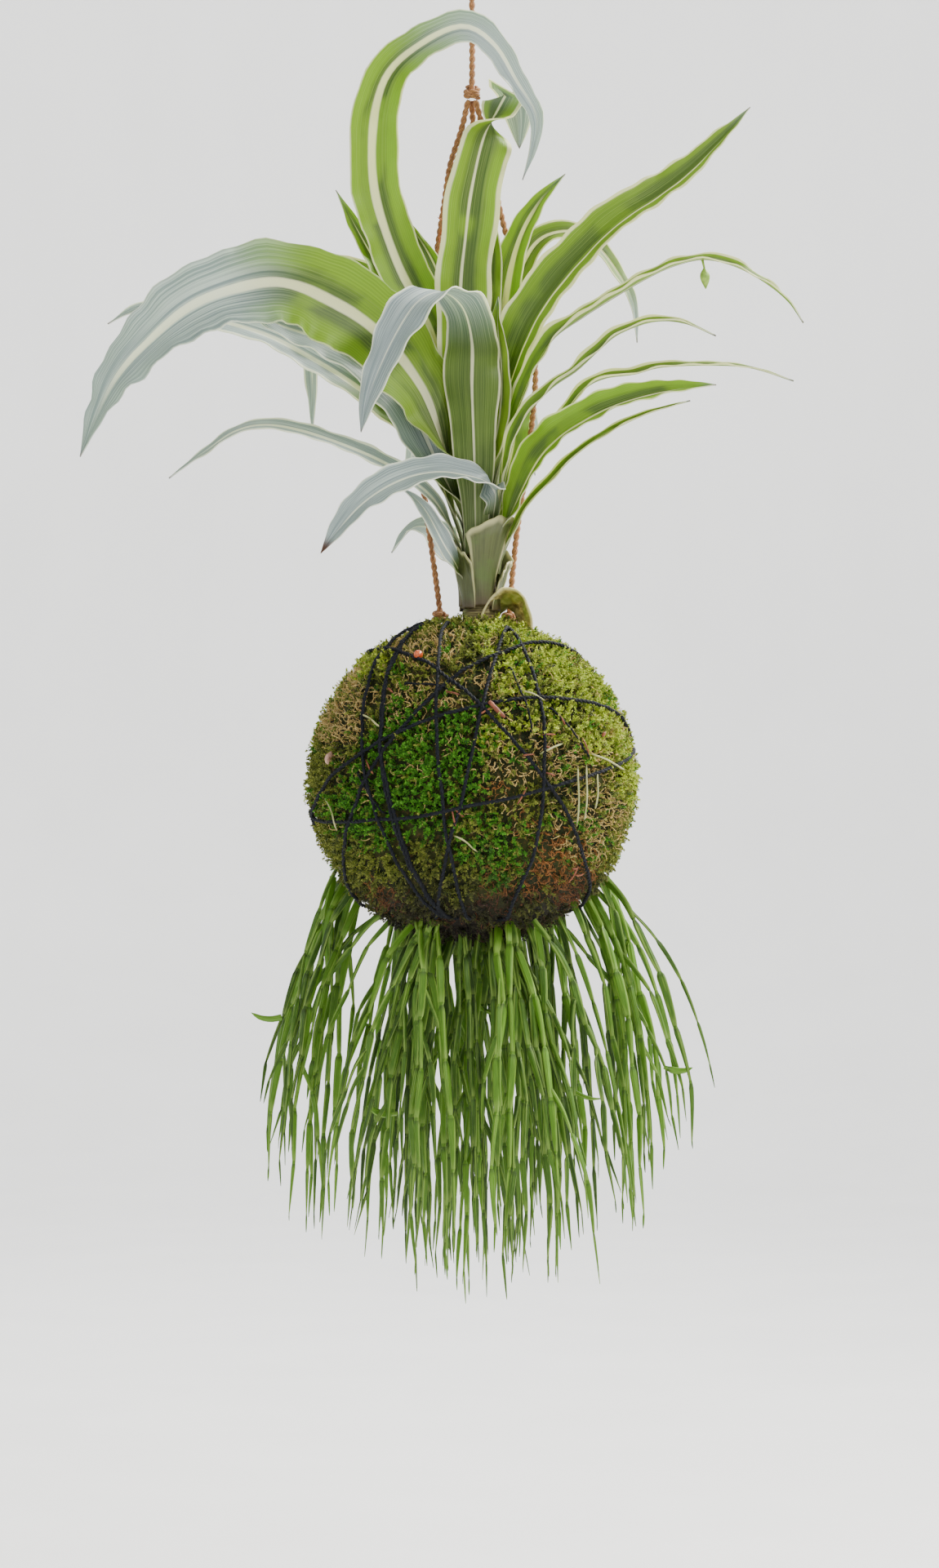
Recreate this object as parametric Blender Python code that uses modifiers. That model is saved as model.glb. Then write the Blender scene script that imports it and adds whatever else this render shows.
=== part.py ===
"""Kokedama: a moss-wrapped soil ball bound with thread, with a variegated dracaena growing
out of its top, trailing jointed stems below it, and a three-leg cord hanger with a loop."""

import math
import random

import bmesh
import bpy
from mathutils import Matrix, Vector

MM = 0.001
COLLECTION_NAME = "kokedama"

# Ball, in millimetres. Every place below is in the ball's own frame, its centre at zero,
# +X to the right, +Y to the back, +Z up.
MOSS_RADIUS = 74.0
MOSS_LUMP = 0.175               # each of the two waves that swell and sink the moss
SOIL_RADIUS = 62.4
GAP = 0.4                       # between pieces that touch
LUMP_CENTRE = (15.0, -4.0, 74.0)
LUMP_RADIUS = 12.0
HOLE_OVERRUN = 6.0              # how far the crown holes' cutters pass the moss each way

# Cane and its leaves
CANE_FOOT = (2.6, 0.0, 34.0)
CANE_TOP = (4.5, 0.0, 139.0)
CANE_RADIUS = 8.0
CANE_TOP_RADIUS = 4.2
CANE_TAPER_FROM = 92.0          # height where the cane starts to narrow
LEAF_THICKNESS = 0.9
LEAF_ROWS = 12
LEAF_STAND_OFF = 1.3            # blade's middle from the cane's skin
LEAF_BASE_WIDTH = 5.2
LEAF_WIDEST_SHARE = 0.4         # share of a leaf's length where it reaches its full width
LEAF_TAPER_POWER = 3.2          # higher keeps the leaf wide for longer
LEAF_TIP_SHARE = 0.04           # width left at the tip
LEAF_RISE = (2.0, 9.0)          # outwards and upwards, from the base to the midrib's next place
CLASP_SHARE = 0.2               # share of a leaf over which it turns from the cane
CANE_SKIN_ALLOWANCE = 0.2       # the solid cane is this much slimmer than cane_radius says
CANE_SIDES = 20

# Old leaf base round the front of the cane
SHEATH_FOOT = 89.0
SHEATH_HEIGHT = 30.0
SHEATH_AZIMUTH = 275.0
SHEATH_SPREAD = 44.0            # half of the angle that it clasps at its foot, in degrees
SHEATH_NARROWING = 8.0          # less of that angle at its top
SHEATH_STAND_OFF = 3.2
SHEATH_FLARE = 3.4              # how far its torn top leans out
SHEATH_TEAR = 3.0               # one side stands this much above the middle, the other below

# Binding thread
THREAD_RADIUS = 0.9
THREAD_RING_RADIUS = 76.1
THREAD_POINTS = 24
THREAD_STAGGER = 0.37           # share of a step between one wind's corners and the next's
THREAD_TOP_END = (7.0, 2.0)     # middle of the clear round patch at the cane
THREAD_TOP_CLEAR = 28.0         # radius of that patch
THREAD_BOTTOM_END = -34.0       # height where the winds dive among the stems

# Hanger
CORD_RADIUS = 1.5
KNOT_HEIGHT = 316.0
KNOT_RADIUS = 2.9
LOOP_KNOT_HEIGHT = 366.0
LOOP_CROWN_HEIGHT = 404.0       # where a hook bears, under the loop's crown: the origin
LOOP_HALF_WIDTH = 10.0
LOOP_FOOT_SPREAD = 1.9          # half the gap between the loop's two ends
LOOP_NECK = (4.6, 7.0)          # half width of its neck, and how high above its ends that is
LOOP_ARC_STEPS = 8
ANCHOR_RADIUS = 3.0
KNOT_SQUASH = 0.92
GATHERING_STRETCH = 1.15        # width of that knot over its depth
LOOP_KNOT_STRETCH = 1.2
LEG_POINTS = 17
LINE_POINTS = 8
LOOP_POINTS = 18
TENDRIL_RADIUS = 0.8
TENDRIL_POINTS = 14
TENDRIL_TOP = (-9.6, 7.0, 270.0)
TENDRIL_RUN = (-5.4, 3.0, -24.0)
TENDRIL_WAVE = 1.5
TENDRIL_WAVE_ANGLE = 9.0        # radians of that wave from end to end

# Trailing stems
STEM_RADIUS = 2.4
STEM_POINTS = 7
STEM_SEED = 41
CROWN_RADIUS = 8.5
STEM_DROP = 241.0               # lowest tip below the ball's centre
STEM_REACH = 104.0              # widest tip from the ball's axis
STEM_RISE = 62.0                # how much higher the widest tips end
STEM_DROP_SPREAD = 16.0         # how much the tips' heights differ
STEM_ROOT_SPREAD = (0.5, 3.5)   # how far from the crown's middle the stems start
STEM_BEND_POWER = 1.9           # higher goes outwards sooner
STEM_FALL_POWER = 1.25          # higher falls later
STEM_WAVE = 1.2
STEM_WAVE_ANGLE = 5.0
STEM_SWAY_ANGLE = 3.0
STEM_SLIM = 0.08                # how much the girth waves along a stem
STEM_TIP_TAPER = 0.82
CROWN_SIDES = 12
CROWN_HOLE_SIDES = 16
CROWN_ROOT_DEPTH = 2.0          # the stems start this far under the moss
CROWN_PROUD = 0.5
CROWN_TAPER = 1.0

# Winds of the binding thread, each a great circle through two places (x, z) on the front
THREAD_WINDS = (
    ((-30.7, 63.7), (-21.0, -50.0)),
    ((-37.0, 50.0), (-30.0, -30.0)),
    ((-14.0, 62.6), (-15.0, 10.9)),
    ((12.8, 61.5), (-12.0, -38.6)),
    ((16.0, 70.5), (30.8, -9.4)),
    ((-9.8, 30.0), (52.0, 35.6)),
    ((-27.8, -16.0), (47.6, 0.4)),
    ((-14.2, 49.0), (51.0, -36.4)),
    ((-49.0, 28.9), (-39.0, -25.0)),
    ((-9.8, 44.6), (12.8, 58.0)),
)

# Crowns of the trailing stems: azimuth and polar angle of the crown on the ball, the sector
# its stems fill, the least and greatest share of the reach, and how many stems it has
CROWNS = {
    "stems_left": dict(azimuth=168, polar=131, sector=(146, 197), reach=(0.62, 1.0), count=9),
    "stems_right": dict(azimuth=12, polar=131, sector=(-17, 34), reach=(0.62, 1.0), count=9),
    "stems_back_left": dict(azimuth=126, polar=137, sector=(110, 142), reach=(0.45, 0.85), count=8),
    "stems_back": dict(azimuth=90, polar=146, sector=(75, 105), reach=(0.4, 0.8), count=8),
    "stems_back_right": dict(azimuth=54, polar=137, sector=(38, 70), reach=(0.45, 0.85), count=8),
    "stems_front_left": dict(azimuth=228, polar=156, sector=(203, 266), reach=(0.36, 0.78), count=10),
    "stems_front_right": dict(azimuth=312, polar=156, sector=(274, 337), reach=(0.36, 0.78), count=10),
    "stems_middle": dict(azimuth=270, polar=180, sector=(0, 315), reach=(0.06, 0.17), count=8),
}

# Leaves: azimuth and height of the base on the cane, the midrib's places after it, the
# greatest width, the V of its two halves in degrees, and which way its upper face looks at
# the base, in the middle and at the tip
LEAVES = {
    "leaf_tall_arching": dict(
        base=(198, 132), width=26, fold=14,
        route=((-10, -1, 172), (-18, -1, 205), (-33, -3, 236), (-43, -7, 265), (-45, -12, 292),
               (-39, -18, 319), (-22, -23, 334), (-4, -25, 341), (10, -24, 333), (20, -22, 317),
               (29, -20, 302), (28, -19, 288), (23, -19, 273)),
        faces=((0.3, -1, 0), (0.1, -0.85, 0.5), (0.2, -0.95, 0.2))),
    "leaf_centre_strap": dict(
        base=(245, 138), width=23, fold=12,
        route=((-4, -5, 175), (-4, -8, 222), (-2, -10, 246), (1, -12, 269), (6, -14, 292),
               (13, -12, 310), (18, -4, 315), (21, 4, 306), (22, 9, 292)),
        faces=((0, -1, 0), (0, -1, 0.1), (0.3, 0.9, 0.3))),
    "leaf_left_behind": dict(
        base=(160, 128), width=19, fold=16,
        route=((-9, 13, 168), (-20, 16, 200), (-36, 17, 226), (-50, 17, 250), (-63, 16, 274)),
        faces=((0.5, -0.9, 0), (0.3, -0.95, 0.2), (0.2, -0.95, 0.3))),
    "leaf_left_inner": dict(
        base=(148, 136), width=17, fold=16,
        route=((-5, 10, 175), (-10, 10, 210), (-18, 10, 238), (-32, 10, 262)),
        faces=((0.2, -1, 0), (0.2, -0.95, 0.2), (0.2, -0.95, 0.2))),
    "leaf_right_inner": dict(
        base=(58, 138), width=18, fold=16,
        route=((5.5, 4.5, 175), (7, 4, 215), (9, 2, 245), (7.5, -1, 271)),
        faces=((-0.4, -0.9, 0), (-0.2, -0.95, 0.1), (0, -1, 0.1))),
    "leaf_right_short": dict(
        base=(98, 134), width=14, fold=16,
        route=((13, 12, 175), (14, 11, 215), (20, 9, 246), (30, 8, 266), (43, 7, 280)),
        faces=((-0.3, -0.9, 0.1), (-0.3, -0.9, 0.3), (-0.3, -0.9, 0.4))),
    "leaf_back_right_arch": dict(
        base=(42, 125), width=13, fold=18,
        route=((12, 24, 170), (15, 33, 215), (28, 40, 250), (44, 44, 259), (57, 46, 254),
               (68, 47, 241), (76, 47, 226), (78, 47, 207)),
        faces=((-0.5, -0.8, 0.2), (-0.1, -0.6, 0.8), (0.6, -0.7, 0.3))),
    "leaf_right_long": dict(
        base=(358, 134), width=23, fold=18,
        route=((13, -1, 170), (22, -4, 205), (37, -2, 229), (52, 2, 246), (68, 7, 261),
               (86, 13, 273), (103, 19, 287), (117, 25, 301), (130, 30, 315)),
        faces=((-0.4, -0.9, 0.2), (-0.3, -0.85, 0.4), (-0.3, -0.85, 0.4))),
    "leaf_right_arch_high": dict(
        base=(318, 129), width=16, fold=24,
        route=((20, -11, 168), (28, -16, 187), (37, -19, 201), (50, -23, 210), (63, -26, 218),
               (77, -29, 226), (90, -31, 232), (104, -33, 235), (118, -34, 232), (131, -35, 225),
               (142, -36, 216), (149, -36, 206)),
        faces=((-0.6, -0.7, 0.4), (-0.2, -0.35, 0.95), (0.5, -0.3, 0.85))),
    "leaf_right_arch_middle": dict(
        base=(341, 117), width=13, fold=24,
        route=((20, -21, 158), (34, -26, 176), (47, -31, 185), (57, -34, 194), (66, -37, 201),
               (81, -41, 206), (95, -44, 205), (109, -46, 199)),
        faces=((-0.6, -0.7, 0.4), (-0.2, -0.4, 0.9), (0.3, -0.4, 0.9))),
    "leaf_right_arch_low": dict(
        base=(20, 112), width=10, fold=24,
        route=((26, -2, 143), (38, -4, 161), (50, -6, 178), (60, -8, 184), (74, -9, 186),
               (86, -10, 189), (106, -10, 190), (127, -9, 189), (147, -8, 183)),
        faces=((-0.6, -0.6, 0.5), (-0.1, -0.4, 0.9), (0.2, -0.4, 0.9))),
    "leaf_right_low_broad": dict(
        base=(341, 103), width=18, fold=26,
        route=((27, -17, 142), (38, -24, 155), (52, -30, 164), (66, -35, 170), (82, -40, 174),
               (97, -44, 176), (109, -47, 177)),
        faces=((-0.5, -0.7, 0.5), (-0.3, -0.75, 0.65), (-0.2, -0.7, 0.7))),
    "leaf_right_low_thin": dict(
        base=(350, 95), width=9, fold=20,
        route=((24, -9, 124), (35, -14, 136), (47, -20, 148), (62, -26, 158), (80, -32, 166),
               (98, -37, 171)),
        faces=((-0.5, -0.5, 0.6), (-0.4, -0.5, 0.8), (-0.3, -0.5, 0.8))),
    "leaf_left_broad": dict(
        base=(212, 122), width=40, fold=14,
        route=((-12, -9, 150), (-23, -15, 178), (-44, -23, 203), (-65, -30, 216),
               (-85, -36, 223), (-105, -41, 220), (-124, -46, 212), (-141, -50, 198),
               (-159, -54, 177), (-174, -56, 144)),
        faces=((0.5, -0.8, 0.2), (0.15, -0.8, 0.6), (-0.7, -0.6, 0.3))),
    "leaf_left_under": dict(
        base=(195, 114), width=24, fold=16,
        route=((-16, -2, 146), (-28, -4, 170), (-47, -8, 190), (-68, -11, 201), (-88, -14, 208),
               (-105, -17, 219)),
        faces=((0.5, -0.8, 0.3), (0.1, -0.8, 0.6), (0.1, -0.8, 0.6))),
    "leaf_left_pale": dict(
        base=(188, 105), width=17, fold=18,
        route=((-20, 1, 150), (-34, 3, 166), (-50, 4, 179), (-68, 4, 191), (-90, 3, 203),
               (-110, 3, 210), (-131, 4, 215), (-152, 6, 218), (-168, 8, 211)),
        faces=((0.6, -0.6, 0.5), (0.2, -0.8, 0.6), (-0.3, -0.7, 0.7))),
    "leaf_left_low_thin": dict(
        base=(190, 100), width=10, fold=14,
        route=((-17, -6, 128), (-30, -8, 139), (-44, -10, 147), (-61, -12, 154), (-80, -13, 160),
               (-95, -14, 162), (-108, -14, 159), (-120, -14, 151), (-131, -14, 143),
               (-138, -14, 138)),
        faces=((0.5, -0.6, 0.6), (0.1, -0.6, 0.8), (-0.5, -0.5, 0.7))),
    "leaf_front_low": dict(
        base=(304, 111), width=18, fold=16,
        route=((9, -19, 134), (-8, -28, 139), (-22, -37, 138), (-35, -45, 133), (-48, -52, 124),
               (-58, -57, 113), (-67, -60, 101)),
        faces=((-0.3, -0.5, 0.8), (-0.2, -0.7, 0.7), (-0.5, -0.8, 0.3))),
    "leaf_front_folded": dict(
        base=(258, 104), width=28, fold=10,
        route=((1, -15, 150), (0, -17, 180), (0, -20, 200), (-4, -28, 214), (-13, -42, 219),
               (-24, -55, 213), (-33, -62, 199), (-41, -65, 182), (-46, -66, 168),
               (-49, -66, 154)),
        faces=((0, 1, 0), (0, -0.1, 1), (-0.3, -0.9, 0.2))),
    "leaf_centre_wavy": dict(
        base=(288, 134), width=16, fold=14,
        route=((10, -9.5, 160), (12, -10, 185), (11, -11, 205), (12, -13, 221)),
        faces=((-0.4, -0.9, 0), (-0.3, -0.95, 0), (-0.3, -0.9, 0.2))),
    "leaf_back_left_curl": dict(
        base=(153, 111), width=13, fold=16,
        route=((-17, 29, 152), (-27, 36, 170), (-36, 35, 184), (-43, 33, 190)),
        faces=((0.5, -0.8, 0.2), (0.4, -0.9, 0.2), (0.3, -0.9, 0.3))),
    "leaf_back_left_arch": dict(
        base=(138, 119), width=14, fold=18,
        route=((-15, 18, 156), (-20, 38, 208), (-42, 42, 231), (-60, 43, 241), (-72, 43, 236),
               (-77, 43, 216), (-75, 43, 192), (-75, 43, 163)),
        faces=((0.6, -0.7, 0.2), (0.1, -0.7, 0.7), (-0.5, -0.8, 0.2))),
    "leaf_back_left_low": dict(
        base=(142, 86), width=14, fold=14,
        route=((-9, 24, 104), (-17, 36, 117), (-28, 43, 119), (-38, 49, 108)),
        faces=((0.6, -0.5, 0.5), (0, -0.5, 0.9), (-0.5, -0.4, 0.7))),
    "leaf_left_short": dict(
        base=(208, 88), width=11, fold=14,
        route=((-13, -14, 108), (-22, -20, 124), (-32, -24, 133)),
        faces=((0.5, -0.7, 0.4), (0.3, -0.8, 0.5), (0.2, -0.8, 0.6))),
    "leaf_back_high": dict(
        base=(92, 130), width=18, fold=16,
        route=((-5, 28, 168), (-7, 46, 196), (-9, 68, 208), (-12, 88, 205), (-15, 106, 190),
               (-17, 118, 166)),
        faces=((0, -0.9, 0.3), (0, -0.3, 1), (0, 0.8, 0.5))),
    "leaf_back_right": dict(
        base=(65, 110), width=18, fold=16,
        route=((17, 29, 148), (21, 50, 170), (24, 74, 178), (28, 96, 170), (31, 114, 150)),
        faces=((-0.2, -0.8, 0.5), (-0.1, -0.2, 1), (0.2, 0.8, 0.5))),
    "leaf_back_left": dict(
        base=(112, 106), width=18, fold=16,
        route=((-8, 33, 136), (-15, 54, 160), (-22, 76, 170), (-28, 96, 163), (-32, 110, 143)),
        faces=((0.2, -0.8, 0.5), (0.1, -0.2, 1), (-0.2, 0.8, 0.5))),
    "leaf_back_low": dict(
        base=(78, 90), width=9, fold=16,
        route=((-3, 31, 114), (-3, 50, 126), (-3, 70, 122), (-3, 86, 106)),
        faces=((0, -0.8, 0.5), (0, -0.2, 1), (0, 0.7, 0.7))),
}

# Routes of the hanger's legs, from the gathering knot down to the anchor knot on the ball
LEGS = {
    "left": dict(anchor=(-14.5, 11.0, 75.8),
                 route=((-1.7, -1.0, 312.4), (-5.0, 2.0, 299.0), (-10.0, 6.0, 284.0),
                        (-13.0, 12.0, 266.0), (-16.5, 17.0, 244.0), (-21.0, 21.0, 215.0),
                        (-24.6, 23.0, 190.0), (-25.2, 23.0, 168.0), (-23.0, 21.0, 140.0),
                        (-18.4, 17.0, 106.0), (-15.4, 13.0, 84.0))),
    "right": dict(anchor=(17.5, 14.0, 75.2),
                  route=((1.7, -1.0, 312.4), (5.2, 2.0, 299.0), (10.0, 7.0, 276.0),
                         (15.0, 12.0, 256.0), (19.5, 15.0, 240.0), (25.0, 18.0, 218.0),
                         (28.8, 20.0, 198.0), (29.4, 20.0, 184.0), (27.0, 20.0, 158.0),
                         (21.0, 18.0, 116.0), (18.0, 15.5, 86.0))),
    "back": dict(anchor=(7.0, 24.0, 74.2),
                 route=((0.0, 2.0, 312.4), (1.0, 8.0, 292.0), (2.4, 18.0, 262.0),
                        (3.4, 25.0, 232.0), (3.8, 27.0, 205.0), (4.2, 27.0, 180.0),
                        (5.2, 26.0, 150.0), (6.6, 25.0, 118.0), (7.0, 24.3, 86.0))),
}


# Small helpers

def clear_scene():
    for thing in list(bpy.data.objects):
        bpy.data.objects.remove(thing, do_unlink=True)


def new_collection(name):
    collection = bpy.data.collections.new(name)
    bpy.context.scene.collection.children.link(collection)
    return collection


def new_material(name, color, roughness=0.8, metallic=0.0):
    material = bpy.data.materials.new(name)
    material.use_nodes = True
    shader = material.node_tree.nodes["Principled BSDF"]
    shader.inputs["Base Color"].default_value = (*color, 1.0)
    shader.inputs["Roughness"].default_value = roughness
    shader.inputs["Metallic"].default_value = metallic
    return material


def add_object(name, data, collection, ball, material=None):
    thing = bpy.data.objects.new(name, data)
    collection.objects.link(thing)
    thing.parent = ball
    if material:
        data.materials.append(material)
    return thing


def make_cutter(thing):
    thing.hide_render = True
    thing.display_type = "WIRE"
    return thing


def add_boolean(thing, operation, other):
    modifier = thing.modifiers.new(other.name, "BOOLEAN")
    modifier.operation = operation
    modifier.solver = "EXACT"
    if isinstance(other, bpy.types.Collection):
        modifier.operand_type = "COLLECTION"
        modifier.collection = other
    else:
        modifier.object = other


def smooth_route(places, count):
    """count points, evenly spaced, on a Catmull-Rom curve through the places."""
    knots = [Vector(p) for p in places]
    knots = [2 * knots[0] - knots[1], *knots, 2 * knots[-1] - knots[-2]]
    steps = 12
    dense = []
    for a, b, c, d in zip(knots, knots[1:], knots[2:], knots[3:]):
        for i in range(steps):
            t = i / steps
            dense.append(0.5 * (2 * b + (c - a) * t + (2 * a - 5 * b + 4 * c - d) * t * t
                                + (3 * b - a - 3 * c + d) * t * t * t))
    dense.append(knots[-2])
    lengths = [0.0]
    for p, q in zip(dense, dense[1:]):
        lengths.append(lengths[-1] + (q - p).length)
    points = []
    place = 0
    for i in range(count):
        wanted = lengths[-1] * i / (count - 1)
        while place < len(dense) - 2 and lengths[place + 1] < wanted:
            place += 1
        share = (wanted - lengths[place]) / (lengths[place + 1] - lengths[place])
        points.append(dense[place].lerp(dense[place + 1], min(share, 1.0)))
    return points


def tube_curve(name, points, radii, resolution, cyclic=False):
    """A poly-line tube through points in millimetres, with filled ends."""
    curve = bpy.data.curves.new(name, "CURVE")
    curve.dimensions = "3D"
    curve.bevel_depth = MM
    curve.bevel_resolution = resolution
    curve.use_fill_caps = not cyclic
    spline = curve.splines.new("POLY")
    spline.points.add(len(points) - 1)
    for place, point, radius in zip(spline.points, points, radii):
        place.co = (*(Vector(point) * MM), 1.0)
        place.radius = radius
    spline.use_cyclic_u = cyclic
    return curve


def curve_to_mesh(curve, name):
    """The curve's tube as a closed mesh, its end caps welded on."""
    holder = bpy.data.objects.new(name + "_curve", curve)
    bpy.context.scene.collection.objects.link(holder)
    graph = bpy.context.evaluated_depsgraph_get()
    mesh = bpy.data.meshes.new_from_object(holder.evaluated_get(graph))
    bpy.data.objects.remove(holder, do_unlink=True)
    shape = bmesh.new()
    shape.from_mesh(mesh)
    bmesh.ops.remove_doubles(shape, verts=shape.verts, dist=0.00002)
    bmesh.ops.recalc_face_normals(shape, faces=shape.faces)
    shape.to_mesh(mesh)
    shape.free()
    mesh.name = name
    return mesh


def ball_mesh(name, radius, subdivisions, centre=(0, 0, 0)):
    mesh = bpy.data.meshes.new(name)
    shape = bmesh.new()
    bmesh.ops.create_icosphere(shape, subdivisions=subdivisions, radius=radius * MM,
                               matrix=Matrix.Translation(Vector(centre) * MM))
    shape.to_mesh(mesh)
    shape.free()
    return mesh


def rod_mesh(name, foot, top, radius, top_radius, sides):
    """A round bar from foot to top."""
    foot = Vector(foot)
    axis = Vector(top) - foot
    turn = axis.to_track_quat("Z", "Y").to_matrix().to_4x4()
    mesh = bpy.data.meshes.new(name)
    shape = bmesh.new()
    bmesh.ops.create_cone(shape, cap_ends=True, segments=sides, radius1=radius * MM,
                          radius2=top_radius * MM, depth=axis.length * MM,
                          matrix=Matrix.Translation((foot + axis / 2) * MM) @ turn)
    shape.to_mesh(mesh)
    shape.free()
    return mesh


# Ball

def on_ball(azimuth, polar, radius):
    """A place on a ball: azimuth from +X towards +Y, polar angle from the top, in degrees."""
    a = math.radians(azimuth)
    p = math.radians(polar)
    return radius * Vector((math.sin(p) * math.cos(a), math.sin(p) * math.sin(a), math.cos(p)))


def make_soil_core(parts, cutters, ball, joins):
    mesh = ball_mesh("soil_core", SOIL_RADIUS, 3)
    material = new_material("soil", (0.06, 0.04, 0.025), 0.95)
    core = add_object("soil_core", mesh, parts, ball, material)
    socket = rod_mesh("cane_socket", (CANE_FOOT[0], 0, CANE_FOOT[2] - GAP),
                      (CANE_FOOT[0], 0, MOSS_RADIUS), CANE_RADIUS + GAP, CANE_RADIUS + GAP,
                      CANE_SIDES)
    joins.append((core, "DIFFERENCE", make_cutter(add_object("cane_socket", socket, cutters, ball))))


def make_moss_cover(parts, cutters, ball, joins):
    """The moss: a lumpy shell round the soil, with a collar swelling beside the cane."""
    mesh = ball_mesh("moss_cover", MOSS_RADIUS, 4)
    for vertex in mesh.vertices:
        way = vertex.co.normalized()
        swell = math.sin(9 * way.x + 2) * math.cos(8 * way.z) + math.sin(7 * way.y + 5 * way.z)
        vertex.co = way * (MOSS_RADIUS + MOSS_LUMP * swell) * MM
    mesh.shade_smooth()
    material = new_material("moss", (0.12, 0.2, 0.03), 0.95)
    cover = add_object("moss_cover", mesh, parts, ball, material)
    tools = [
        ("UNION", "moss_collar", ball_mesh("moss_collar", LUMP_RADIUS, 2, LUMP_CENTRE)),
        ("DIFFERENCE", "moss_inside", ball_mesh("moss_inside", SOIL_RADIUS + GAP, 3)),
        ("DIFFERENCE", "cane_hole",
         rod_mesh("cane_hole", (CANE_FOOT[0], 0, SOIL_RADIUS - LUMP_RADIUS),
                  (CANE_FOOT[0], 0, LUMP_CENTRE[2] + 2 * LUMP_RADIUS),
                  CANE_RADIUS + GAP, CANE_RADIUS + GAP, CANE_SIDES)),
    ]
    for name, crown in CROWNS.items():
        inner = on_ball(crown["azimuth"], crown["polar"], SOIL_RADIUS - HOLE_OVERRUN)
        outer = on_ball(crown["azimuth"], crown["polar"], MOSS_RADIUS + HOLE_OVERRUN)
        tools.append(("DIFFERENCE", "hole_" + name,
                      rod_mesh("hole_" + name, inner, outer, CROWN_RADIUS + GAP,
                               CROWN_RADIUS + GAP, CROWN_HOLE_SIDES)))
    for operation, name, tool in tools:
        joins.append((cover, operation, make_cutter(add_object(name, tool, cutters, ball))))


def front_place(x, z, radius):
    """The place on the front of a ball at (x, z)."""
    return Vector((x, -math.sqrt(max(radius * radius - x * x - z * z, 0.0)), z))


def make_binding_thread(parts, cutters, ball, joins):
    """The thread's winds joined where they cross, cut off where they dive under the moss:
    round the cane at the top and among the stems at the bottom."""
    winds = bpy.data.collections.new("thread_winds")
    cutters.children.link(winds)
    first = None
    for i, (start, end) in enumerate(THREAD_WINDS):
        along = front_place(*start, THREAD_RING_RADIUS).normalized()
        axis = along.cross(front_place(*end, THREAD_RING_RADIUS)).normalized()
        across = axis.cross(along)
        points = []
        for k in range(THREAD_POINTS):
            a = 2 * math.pi * (k + THREAD_STAGGER * i) / THREAD_POINTS
            points.append((along * math.cos(a) + across * math.sin(a)) * THREAD_RING_RADIUS)
        curve = tube_curve("wind", points, [THREAD_RADIUS] * THREAD_POINTS, 0, cyclic=True)
        mesh = curve_to_mesh(curve, f"wind_{i}")
        if first is None:
            material = new_material("thread", (0.01, 0.012, 0.02), 0.6)
            first = add_object("binding_thread", mesh, parts, ball, material)
        else:
            make_cutter(add_object(f"wind_{i}", mesh, winds, ball))
    joins.append((first, "UNION", winds))
    beyond = 1.5 * MOSS_RADIUS
    top = rod_mesh("thread_top_end", (*THREAD_TOP_END, MOSS_RADIUS / 2), (*THREAD_TOP_END, beyond),
                   THREAD_TOP_CLEAR, THREAD_TOP_CLEAR, CANE_SIDES)
    bottom = rod_mesh("thread_bottom_end", (0, 0, -beyond), (0, 0, THREAD_BOTTOM_END),
                      beyond, beyond, CANE_SIDES)
    for name, tool in (("thread_top_end", top), ("thread_bottom_end", bottom)):
        joins.append((first, "DIFFERENCE", make_cutter(add_object(name, tool, cutters, ball))))


# Cane and leaves

def cane_axis(height):
    share = (height - CANE_FOOT[2]) / (CANE_TOP[2] - CANE_FOOT[2])
    return Vector(CANE_FOOT).lerp(Vector(CANE_TOP), share)


def cane_radius(height):
    if height < CANE_TAPER_FROM:
        return CANE_RADIUS
    share = (height - CANE_TAPER_FROM) / (CANE_TOP[2] - CANE_TAPER_FROM)
    return CANE_RADIUS + (CANE_TOP_RADIUS - CANE_RADIUS) * share


def make_cane(parts, ball):
    """The woody cane: straight out of the soil, narrowing through the crown of leaves."""
    heights = (CANE_FOOT[2], 60, 76, CANE_TAPER_FROM, 104, 116, 128, CANE_TOP[2])
    points = [cane_axis(h) for h in heights]
    points[:3] = [Vector((CANE_FOOT[0], 0, h)) for h in heights[:3]]
    radii = [cane_radius(h) - CANE_SKIN_ALLOWANCE for h in heights]
    curve = tube_curve("dracaena_cane", points, radii, 4)
    mesh = curve_to_mesh(curve, "dracaena_cane")
    mesh.shade_smooth()
    material = new_material("cane", (0.2, 0.19, 0.07), 0.6)
    add_object("dracaena_cane", mesh, parts, ball, material)


def leaf_base(azimuth, height):
    """Where a leaf stands on the cane, and the way out from the cane there."""
    a = math.radians(azimuth)
    out = Vector((math.cos(a), math.sin(a), 0))
    return cane_axis(height) + out * (cane_radius(height) + LEAF_STAND_OFF), out


def leaf_width(share, width):
    """A strap that widens from its base to its middle and tapers to a point."""
    rise = min(share / LEAF_WIDEST_SHARE, 1.0)
    rise = rise * rise * (3 - 2 * rise)
    body = LEAF_BASE_WIDTH + (width - LEAF_BASE_WIDTH) * rise
    return body * max(1 - share ** LEAF_TAPER_POWER, LEAF_TIP_SHARE)


def leaf_face(share, faces, direction, out):
    """The way the upper face looks at this share of the leaf, square to its direction. A leaf
    clasps its cane, so its foot faces the cane's axis."""
    base, middle, tip = (Vector(f).normalized() for f in faces)
    if share < 0.5:
        look = base.lerp(middle, share * 2)
    else:
        look = middle.lerp(tip, share * 2 - 1)
    look = (-out).lerp(look, min(share / CLASP_SHARE, 1.0))
    look -= direction * look.dot(direction)
    return look.normalized()


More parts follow.
